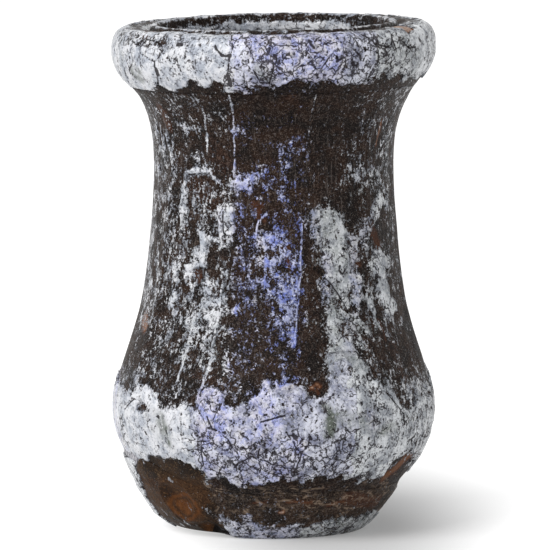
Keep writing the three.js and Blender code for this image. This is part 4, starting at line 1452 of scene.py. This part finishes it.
def glassGroup():
    # dark weathered glass: brown and black clouds, pale dashes and upward scratches; rust, orange and tan
    # where it is stained; tan wrinkles where fold is 1, and an even brown where it is 2
    shades = {label: paint(*shade) for label, shade in glassLook.items()}
    group, given, result = newGroup("weatheredGlass", [
        ("Stain", "NodeSocketFloat", 0.0), ("Fold", "NodeSocketFloat", 0.0), ("Crack", "NodeSocketFloat", 0.0),
        ("Dark", "NodeSocketColor", shades["dark"]), ("Brown", "NodeSocketColor", shades["brown"])
    ], [("Colour", "NodeSocketColor"), ("Roughness", "NodeSocketFloat"), ("Height", "NodeSocketFloat")])
    stain, fold = given["Stain"], given["Fold"]
    inMm = inMillimetres(group)
    clouds = speckle(group, inMm, 0.3, 5, 0.65)
    grain = speckle(group, inMm, 2.6, 3, 0.65, 0.8)
    lines = speckle(group, inMillimetres(group, 0.11), 2.2, 4, 0.65)
    wrinkles = speckle(group, inMillimetres(group, 2.2), 0.62, 5, 0.72, 1.2)
    pepper = speckle(group, inMm, 5.5, 2, 0.6)
    shaken = summed(group, [(grain, 0.9), (stain, 1.0)])
    colour = layered(group, given["Dark"], [
        (clouds, 0.38, 0.62, 1, given["Brown"]),
        (grain, 0.47, 0.36, 1, shades["pits"])])
    dust = times(group, band(group, grain, 0.56, 0.66), band(group, clouds, 0.35, 0.6, 0.35, 0.85))
    colour = mixed(group, dust, colour, shades["dust"])
    tan = layered(group, shades["tan"], [
        (stain, 1.45, 1.75, 1, shades["warmTan"]),
        (grain, 0.5, 0.4, 1, shades["deepTan"])])
    colour = layered(group, colour, [
        (lines, 0.56, 0.7, 0.5, shades["scratches"]),
        (pepper, 0.56, 0.66, 0.4, shades["paleSpecks"]),
        (pepper, 0.46, 0.38, 0.7, shades["darkSpecks"]),
        (shaken, 0.85, 1.35, 0.7, shades["rust"]),
        (shaken, 1.2, 1.8, 0.85, shades["orange"]),
        (stain, 0.98, 1.32, 1, tan)])
    folded = times(group, band(group, fold, 0.3, 0.9), band(group, fold, 1.6, 1.2))
    ridge = times(group, band(group, wrinkles, 0.5, 0.64), folded)
    ridge = times(group, ridge, band(group, clouds, 0.4, 0.6, 0.35, 0.95))
    colour = mixed(group, ridge, colour, shades["wrinkles"])
    velvet = layered(group, shades["velvet"], [
        (clouds, 0.36, 0.6, 1, shades["velvetPale"]),
        (grain, 0.54, 0.66, 1, shades["velvetDust"]),
        (pepper, 0.46, 0.38, 1, shades["velvetPits"]),
        (shaken, 0.75, 1.5, 0.85, shades["amber"]),
        (shaken, 1.45, 1.85, 0.7, shades["paleAmber"])])
    colour = layered(group, colour, [
        (fold, 1.4, 1.7, 0.92, velvet),
        (given["Crack"], 0.4, 0.7, 1, shades["cracks"])])
    group.links.new(colour, result["Colour"])
    group.links.new(band(group, grain, 0.35, 0.65, 0.38, 0.62), result["Roughness"])
    group.links.new(summed(group, [(grain, 0.9), (lines, 0.5), (ridge, 0.5)]), result["Height"])
    return group


crustLook = {
    "light": (222, 224, 229),
    "shade": (172, 178, 192),
    "thin": (98, 100, 109),
    "calmBlue": (150, 158, 230),  # calm where there is some violet, vivid where there is much
    "calmLilac": (212, 206, 236),
    "calmPink": (214, 206, 212),
    "calmSand": (206, 196, 180),
    "calmThin": (84, 88, 120),
    "vividBlue": (104, 122, 210),
    "vividPale": (162, 168, 208),
    "vividThin": (68, 76, 132),
    "greenGrey": (106, 112, 106),
    "plainGrey": (142, 146, 150),
    "smudge": (84, 92, 82),
    # near-white grain: partly the crust's own pale specks, partly painted glints
    "bright": (250, 251, 253),
    "grit": (90, 90, 98),
    "cracks": (38, 31, 33),
}
# crackle at two sizes: cells to the mm, half width of its lines, size of the noise that breaks it, and the
# least of that noise where it shows
crackle = ((0.52, 0.064, 0.7, 0.67), (0.26, 0.037, 0.3, 0.61))


def crustGroup():
    # pale crust: grey-blue where it is thin and light where it is deep, with shares of violet and green-grey,
    # near-white flecks that are partly painted glints, dark flecks, short broken crackle, and the cracks that
    # are drawn on it
    shades = {label: paint(*shade) for label, shade in crustLook.items()}
    group, given, result = newGroup("flakingCrust", [
        ("Violet", "NodeSocketFloat", 0.0), ("Tone", "NodeSocketFloat", 0.0), ("Crack", "NodeSocketFloat", 0.0),
        ("Craze", "NodeSocketFloat", 0.0), ("Depth", "NodeSocketFloat", 0.0),
        ("Light", "NodeSocketColor", shades["light"]), ("Shade", "NodeSocketColor", shades["shade"])
    ], [("Colour", "NodeSocketColor"), ("Roughness", "NodeSocketFloat"), ("Height", "NodeSocketFloat"),
        ("Gloss", "NodeSocketFloat")])
    craze = given["Craze"]
    inMm = inMillimetres(group)
    clouds = speckle(group, inMm, 0.38, 4, 0.62)
    grain = speckle(group, inMm, 3.0, 3, 0.6)
    hue = speckle(group, inMm, 0.6, 4, 0.6, 0.5)
    ripple = speckle(group, inMillimetres(group, 2.2), 0.8, 3, 0.55, 0.6)
    body = summed(group, [(given["Depth"], 1.0), (clouds, 0.7), (grain, 0.45)])
    thick = band(group, body, 0.5, 0.98)
    colour = layered(group, given["Shade"], [(clouds, 0.38, 0.6, 1, given["Light"])])
    colour = mixed(group, thick, shades["thin"], colour)
    calm = layered(group, shades["calmBlue"], [
        (hue, 0.42, 0.5, 1, shades["calmLilac"]),
        (hue, 0.54, 0.6, 1, shades["calmPink"]),
        (hue, 0.62, 0.66, 1, shades["calmSand"])])
    calm = mixed(group, thick, shades["calmThin"], calm)
    vivid = layered(group, shades["vividBlue"], [(hue, 0.42, 0.56, 1, shades["vividPale"])])
    vivid = mixed(group, thick, shades["vividThin"], vivid)
    violet = layered(group, calm, [(given["Violet"], 0.8, 1.15, 1, vivid)])
    share = times(group, given["Violet"], band(group, hue, 0.2, 0.55, 1.0, 0.6), clamp=True)
    colour = mixed(group, share, colour, violet)
    grey = layered(group, shades["greenGrey"], [(hue, 0.42, 0.6, 1, shades["plainGrey"])])
    share = times(group, given["Tone"], band(group, hue, 0.3, 0.62, 1.0, 0.5), clamp=True)
    colour = mixed(group, share, colour, grey)
    colour = mixed(group, band(group, given["Tone"], 0.95, 1.5, 0.0, 0.85), colour, shades["smudge"])
    # near-white flecks on the fine grain: pale specks and painted glints
    colour = layered(group, colour, [(grain, 0.56, 0.7, 0.6, shades["bright"])])
    grit = times(group, band(group, grain, 0.42, 0.32), band(group, craze, 0.15, 0.6, 0.2, 0.65))
    colour = mixed(group, grit, colour, shades["grit"])
    bent = bentBy(group, inMm, 2.0, 0.9)
    flecks = band(group, speckle(group, inMm, 1.25, 3, 0.55, 1.0), 0.61, 0.65)
    lines = times(group, flecks, band(group, craze, 0.05, 0.45, 0.35, 1.0))
    for scale, width, patch, least in crackle:
        places = {"Vector": bent, "Scale": scale}
        cells = node(group, "ShaderNodeTexVoronoi", places, feature="DISTANCE_TO_EDGE")
        edge = band(group, cells.outputs["Distance"], width, width * 0.35)
        broken = summed(group, [(speckle(group, inMm, patch, 2, 0.5), 1.0), (craze, 0.36)])
        shown = times(group, edge, band(group, broken, least, least + 0.06))
        lines = maths(group, "MAXIMUM", lines, shown)
    rough = speckle(group, inMm, 1.4, 2, 0.5)
    drawn = summed(group, [(given["Crack"], 1.0), (grain, 1.1), (rough, 1.4)])
    dark = maths(group, "MAXIMUM", band(group, drawn, 1.82, 1.98), lines)
    colour = mixed(group, times(group, dark, 0.92), colour, shades["cracks"])
    group.links.new(colour, result["Colour"])
    group.links.new(band(group, grain, 0.35, 0.65, 0.5, 0.32), result["Roughness"])
    parts = [(grain, 0.8), (ripple, 1.6), (clouds, 0.6), (thick, 0.4), (dark, -0.8)]
    group.links.new(summed(group, parts), result["Height"])
    group.links.new(maths(group, "SUBTRACT", 1.0, dark), result["Gloss"])
    return group


weatheredGlass = glassGroup()
flakingCrust = crustGroup()
crustCover = coverGroup()


surfaceLook = {
    "crustRise": 0.5,  # the crust's bump stands this much over the glass's
    "bump": 0.6,
    "bumpHeight": 0.12,
    "shine": 0.6,
    "shineRoughness": 0.21,
    "specular": 0.04,
}


def surfaceFinish(name, dark, brown, light, shade):
    # glass and crust in one finish: each shows where the cover mask says
    look = surfaceLook
    material = bpy.data.materials.new(name)
    material.use_nodes = True
    tree = material.node_tree
    tree.nodes.clear()
    mark = {label: node(tree, "ShaderNodeAttribute", attribute_name=label).outputs["Fac"]
            for label in ("cover", "violet", "tone", "stain", "crack", "craze", "fold")}
    cover = node(tree, "ShaderNodeGroup", {"Cover": mark["cover"]}, node_tree=crustCover).outputs
    glass = node(tree, "ShaderNodeGroup", {
        "Stain": mark["stain"], "Fold": mark["fold"], "Crack": mark["crack"],
        "Dark": paint(*dark), "Brown": paint(*brown)}, node_tree=weatheredGlass).outputs
    crust = node(tree, "ShaderNodeGroup", {
        "Violet": mark["violet"], "Tone": mark["tone"], "Crack": mark["crack"], "Craze": mark["craze"],
        "Depth": cover["Depth"], "Light": paint(*light), "Shade": paint(*shade)
    }, node_tree=flakingCrust).outputs
    mask = cover["Mask"]
    crustHeight = maths(tree, "ADD", crust["Height"], look["crustRise"])
    bump = node(tree, "ShaderNodeBump", {
        "Strength": look["bump"], "Distance": look["bumpHeight"] * mm,
        "Height": mixedValue(tree, mask, glass["Height"], crustHeight)})
    shader = node(tree, "ShaderNodeBsdfPrincipled", {
        "Base Color": mixed(tree, mask, glass["Colour"], crust["Colour"]),
        "Roughness": mixedValue(tree, mask, glass["Roughness"], crust["Roughness"]),
        "Normal": bump.outputs[0],
        "Coat Weight": times(tree, times(tree, mask, crust["Gloss"]), look["shine"]),
        "Coat Roughness": look["shineRoughness"],
        "Specular IOR Level": look["specular"]})
    out = node(tree, "ShaderNodeOutputMaterial")
    tree.links.new(shader.outputs[0], out.inputs["Surface"])
    return material


# name of each slot's finish, dark and brown of its glass, light and shade of its crust
finishColours = {
    "glass_wall": ("weatheredWall", (24, 20, 19), (48, 34, 27), (224, 225, 230), (160, 166, 180)),
    # the rim's crust light is whiter than the wall's: partly its own colour, partly a painted highlight
    "glass_rim": ("weatheredRim", (24, 20, 19), (48, 34, 27), (245, 246, 250), (164, 170, 186)),
    "glass_foot": ("weatheredFoot", (35, 28, 24), (66, 51, 41), (170, 168, 175), (116, 116, 126)),
    "crust_white": ("whiteCrust", (24, 20, 19), (48, 34, 27), (236, 237, 242), (180, 186, 198)),
    "crust_violet": ("violetCrust", (24, 20, 20), (48, 34, 29), (226, 228, 242), (146, 150, 174)),
    "crust_grey": ("greyCrust", (24, 20, 19), (48, 34, 27), (233, 236, 240), (160, 165, 173)),
}
finishes = {slotName: surfaceFinish(*colours) for slotName, colours in finishColours.items()}
print("finishes ready")


# Glass

# columns round the jar, and steps along a line in mm
fineness = {
    "wallColumns": 480,
    "rollColumns": 600,
    "padColumns": 600,
    "plateColumns": 780,
    "crowding": 0.4,
    "outside": 0.5,
    "rollOutside": 0.4,
    "plateRow": 0.2,
    "underside": 2.5,
    "shelf": 1.0,
    "lip": 0.25,
    "lipSide": 1.2,
    "rollBore": 1.5,
    "throat": 1.3,
    "insideWaist": 2.8,
    "insideFloor": 2.4,
    "flankRows": 46,
    "boreRows": 14,
    "footPlateRows": 50,
}


def turnAngles(columns):
    # angles round the jar, u - crowding sin u for even steps of u, which crowds them towards the front
    even = np.arange(columns) * 360 / columns - 180
    return even - fineness["crowding"] * np.degrees(np.sin(np.radians(even)))


def turnedGrid(columns, line):
    # angle, radius and height of a line in (radius, height) that is taken round the jar
    angle, radius = np.meshgrid(turnAngles(columns), line[:, 0])
    return angle, radius, np.broadcast_to(line[:, 1][:, None], angle.shape)


def makeWall():
    w = wallForm
    corners = wallCorners()
    neckBore = w["neckRadius"] - w["neckWall"]
    bellyBore = w["bellyRadius"] - w["bellyWall"]
    lipFoot = w["collarHeight"] + w["collarRise"]
    lipSide = lipHeight - w["lipShoulder"]
    floorHeight = w["floorHeight"]
    under = evenLine(corners["underside"], fineness["underside"])[1:]
    outer = joined([evenLine(corners[part], fineness["outside"]) for part in outerParts])
    shelf = joined([
        evenLine([(collarRadius - seam, w["collarHeight"] + seam), (lipRadius, lipFoot)], fineness["shelf"]),
        evenLine([(lipRadius, lipFoot), (lipRadius, lipSide)], fineness["lipSide"])])
    crown = lipSide + w["lipCrown"]
    lip = evenLine([
        (lipRadius, lipSide), (lipRadius, crown), (mouthRadius, crown), (mouthRadius, lipSide)
    ], fineness["lip"])
    throat = evenLine([
        (mouthRadius, lipSide), (blend(mouthRadius, neckBore, 0.35), blend(lipHeight, w["neckHeight"], 0.35)),
        (neckBore, blend(lipHeight, w["neckHeight"], 0.65)), (neckBore, w["neckHeight"])], fineness["throat"])
    waist = evenLine([
        (neckBore, w["neckHeight"]), (neckBore, blend(w["neckHeight"], w["bellyHeight"], 0.54)),
        (bellyBore, blend(w["bellyHeight"], w["neckHeight"], 0.08)), (bellyBore, w["bellyHeight"])
    ], fineness["insideWaist"])
    floor = evenLine([
        (bellyBore, w["bellyHeight"]), (bellyBore, blend(w["bellyHeight"], floorHeight, 0.85)),
        (bellyBore * 0.55, floorHeight), (bellyBore * 0.3, floorHeight + w["floorKick"] * 0.6)
    ], fineness["insideFloor"])
    inside = joined([lip, throat, waist, floor])
    line = np.concatenate([under[:-1], outer, shelf, inside[1:]])
    angle, radius, height = turnedGrid(fineness["wallColumns"], line)
    isOuter = np.zeros(len(line), bool)
    isOuter[len(under) - 1:len(under) - 1 + len(outer)] = True
    grid = atJar(angle, np.where(isOuter[:, None], radius - facetSink(angle, height), radius), height)
    marks = boreMarks(angle, radius, height)
    for label, values in wallMarks(angle[isOuter], height[isOuter]).items():
        marks[label][isOuter] = values
    relief = wallRelief(angle, height) * isOuter[:, None]
    onLip = ((line[:, 1] > lipSide + 0.2) & ~isOuter)[:, None]
    grid = lifted(grid, relief + reliefForm["lip"] * billow(grid, 3.0, 431, 3) * onLip)
    poles = [(0, 0, w["bulbBottom"]), (0, 0, floorHeight + w["floorKick"])]
    addPiece("glassWall", closedSkin("glassWall", grid, poles, marks), "glass_wall")


def rollLine(spacing):
    # outside of the roll, from its underside out over the widest circle to the crown
    rim, collar = rollForm["radius"], wallForm["collarHeight"]
    belly = [
        (collarRadius + 0.02, collar + 0.04), (blend(collarRadius, rim, 0.4), blend(collar, rimHeight, 0.26)),
        (rim, blend(rimHeight, collar, 0.4)), (rim, rimHeight)]
    crest = [
        (rim, rimHeight), (rim, blend(rollTop, rimHeight, 0.26)),
        (blend(rollCrown, rim, 0.78), rollTop), (rollCrown, rollTop)]
    return joined([evenLine(belly, spacing), evenLine(crest, spacing)])


def makeRoll():
    bore = lipRadius + seam
    shelf = wallForm["collarHeight"] + wallForm["collarRise"] + 2 * seam
    mouth = (bore + rollForm["seamMouth"], rollTop - seam)
    side = (bore, rollTop - wallForm["lipShoulder"])
    outside = rollLine(fineness["rollOutside"])
    fold = [(rollCrown, rollTop), (blend(rollCrown, mouth[0], 0.5), rollTop), mouth, side]
    hidden = joined([
        evenLine(fold, fineness["lip"]),
        evenLine([side, (bore, shelf)], fineness["rollBore"]),
        evenLine([(bore, shelf), (collarRadius, wallForm["collarHeight"] + 2.5 * seam)], fineness["shelf"])])
    line = np.concatenate([outside, hidden[1:]])
    angle, radius, height = turnedGrid(fineness["rollColumns"], line)
    foldRows = 6  # rows of the fold that still show
    seen = (np.arange(len(line)) < len(outside) + foldRows)[:, None]
    base = atJar(angle, radius, height)
    grid = lifted(base, rollRelief(base, height) * seen)
    addPiece("rimRoll", closedSkin("rimRoll", grid, None, rollMarks(angle, radius, height)), "rim_roll")


def broken(angle, radius, height):
    # the chip and the shell-shaped scar: inside each ball the surface is pushed in to the ball's far side
    p = padForm
    chipPlace = padFlank(np.array(p["chipAngle"]), 0.7)[0] + p["chipOffset"]
    flank = padFlank(np.array(p["scarAngle"]), 0.42)[0]
    balls = (
        (p["chipAngle"], chipPlace, 0.0, p["chipRadius"]),
        (p["scarAngle"], flank + p["scarRadius"] - p["scarDepth"], p["scarHeight"], p["scarRadius"]))
    for middle, centre, level, size in balls:
        sideways = turned(angle - middle) * radiansPerDegree * radius
        room = size ** 2 - sideways ** 2 - (height - level) ** 2
        radius = np.where(room > 0, np.minimum(radius, centre - np.sqrt(np.maximum(room, 0))), radius)
    return radius


def makePad():
    p = padForm
    angles = turnAngles(fineness["padColumns"])
    rows = []
    for share in p["pontilRows"]:
        hollow = np.full_like(angles, p["pontilDepth"] * (1 - share ** 2))
        rows.append((shifted(angles, p["pontilRadius"]) * share, hollow))
    for share in p["restingRows"]:
        rows.append((shifted(angles, blend(p["pontilRadius"], p["footRadius"], share)), np.zeros_like(angles)))
    firstFlank = len(rows) + 1
    for share in np.linspace(1, 0, fineness["flankRows"]):
        radius, height = padFlank(angles, share)
        rows.append((broken(angles, radius, height), height))
    lastFlank = len(rows)
    top = padTop(angles)
    for rise, proud in p["smearEdge"]:
        rows.append((outerRadius(top + rise) + proud, top + rise))
    smear = smearShare(angles)
    for share in (1.0, 0.66, 0.33, 0.0):
        height = wallForm["keelHeight"] + 0.01 + p["smearHeight"] * smear * share
        rows.append((outerRadius(height) + seam, height - seam))
    under = evenLine(wallCorners()["underside"], fineness["underside"])[1:-1][::-1]
    rows += [(np.full_like(angles, r), np.full_like(angles, z - seam)) for r, z in under]
    radius = np.stack([row[0] for row in rows])
    height = np.stack([row[1] for row in rows])
    angle = np.broadcast_to(angles, radius.shape)
    height = height + wornEdge(angle, radius, height)
    base = atJar(angle, radius, height)
    marks = padMarks(angle, radius, height)
    seen = np.zeros(len(rows))
    seen[firstFlank:lastFlank] = 1
    grid = lifted(base, padRelief(angle, radius, height, base) * seen[:, None])
    grid[..., 2] = np.maximum(grid[..., 2], 0)
    poles = [(0, 0, p["pontilDepth"]), (0, 0, wallForm["bulbBottom"] - seam)]
    addPiece("footPad", closedSkin("footPad", grid, poles, marks), "foot_pad")


makeWall()
makeRoll()
makePad()
print("glass made")


# Crust plates

crustForm = {
    "seat": -0.05,  # the underside of a plate lies this much over the glass, in mm
    "least": 0.47,  # a vertex carries crust above this cover
    "wobble": 4.0,  # how far the cracks between plates wander, in degrees
    "wobbleSize": 4.5,
    "bandReach": 9.0,  # a vertex joins the nearest packed plate, if that is no further than this, in mm
    "tongueReach": 2.6,
    "footReach": 4.0,
    "mouthReach": 2.0,
    "wallHeights": (7.2, 69.4),
    "footShares": (0.985, 0.02),  # along the pad's side, from the resting face to the top
    "footWobbleSize": 3.5,
    "footThin": 0.7,  # the foot's crust is this much thinner
    "mouthDrops": (1.1, 3.4),  # below the lip
}


def makePlates(names, owner, base, relief, lift, marks):
    # one piece for each node: its cells with crust at all four corners; neighbours meet along their crack
    top = settled(lifted(base, relief + lift))
    bottom = settled(lifted(base, relief + crustForm["seat"]))
    solid = marks["cover"] > crustForm["least"]
    beside = np.roll(solid, -1, 1)
    whole = tidied(solid[:-1] & beside[:-1] & solid[1:] & beside[1:])
    for number, name in enumerate(names):
        keep = whole & (owner[:-1] == number)
        first, *others = name.split("_")
        title = first + "".join(word.capitalize() for word in others)
        addPiece(title, plateMesh(title, top, bottom, keep, marks), name)


def nodesNamed(start):
    return [name for name in sorted(frame["nodes"]) if name.startswith(start)]


def wandered(angle, points, size, seed):
    return angle + crustForm["wobble"] * billow(points, size, seed)


def makeWallPlates():
    c = crustForm
    low, high = c["wallHeights"]
    line = outerLine[::2]
    line = line[(line[:, 1] > low) & (line[:, 1] < high)]
    angle, radius, height = turnedGrid(fineness["plateColumns"], line)
    base = atJar(angle, radius - facetSink(angle, height), height)
    points = atJar(angle, radius, height)
    marks = wallMarks(angle, height)
    wander = wandered(angle, points, c["wobbleSize"], 501)
    belly = nodesNamed("belly_crust")
    tongues = nodesNamed("waist_crust") + nodesNamed("neck_crust")
    onBelly = height < turnLine(bellyTop, angle) + 0.8
    owner = np.where(onBelly, owners(belly, wander, height, radius, c["bandReach"], False), -1)
    tongueOwner = owners(tongues, wander, height, radius, c["tongueReach"], True)
    owner = np.where(~onBelly & (tongueOwner >= 0), tongueOwner + len(belly), owner)
    makePlates(belly + tongues, owner, base, wallRelief(angle, height), crustLift(points, marks), marks)


def makeRimPlates():
    angle, radius, height = turnedGrid(fineness["plateColumns"], rollLine(fineness["plateRow"])[2:])
    base = atJar(angle, radius, height)
    marks = rollMarks(angle, radius, height)
    names = nodesNamed("rim_crust")
    wander = wandered(angle, base, crustForm["wobbleSize"], 511)
    owner = owners(names, wander, height, radius, crustForm["bandReach"], False)
    makePlates(names, owner, base, rollRelief(base, height), crustLift(base, marks), marks)


def makeFootPlates():
    c = crustForm
    angles = turnAngles(fineness["plateColumns"])
    flank = [padFlank(angles, share) for share in np.linspace(*c["footShares"], fineness["footPlateRows"])]
    height = np.stack([row[1] for row in flank])
    angle = np.broadcast_to(angles, height.shape)
    radius = broken(angle, np.stack([row[0] for row in flank]), height)
    height = height + wornEdge(angle, radius, height)
    base = atJar(angle, radius, height)
    marks = padMarks(angle, radius, height)
    names = nodesNamed("foot_crust")
    wander = wandered(angle, base, c["footWobbleSize"], 521)
    owner = owners(names, wander, height, radius, c["footReach"], False)
    relief = padRelief(angle, radius, height, base)
    makePlates(names, owner, base, relief, c["footThin"] * crustLift(base, marks), marks)


def makeMouthPlates():
    start, end = (lipHeight - drop for drop in crustForm["mouthDrops"])
    heights = np.linspace(start, end, fineness["boreRows"])
    angle, height = np.meshgrid(turnAngles(fineness["plateColumns"]), heights)
    neckBore = wallForm["neckRadius"] - wallForm["neckWall"]
    slope = (lipHeight - height) / (lipHeight - wallForm["neckHeight"])
    radius = blend(mouthRadius, neckBore, slope ** 2)
    base = atJar(angle, radius, height)
    marks = boreMarks(angle, radius, height)
    names = nodesNamed("mouth_crust")
    owner = owners(names, angle, height, radius, crustForm["mouthReach"], False)
    makePlates(names, owner, base, np.zeros_like(height), crustLift(base, marks), marks)


makeWallPlates()
makeRimPlates()
makeFootPlates()
makeMouthPlates()
print("crust made")
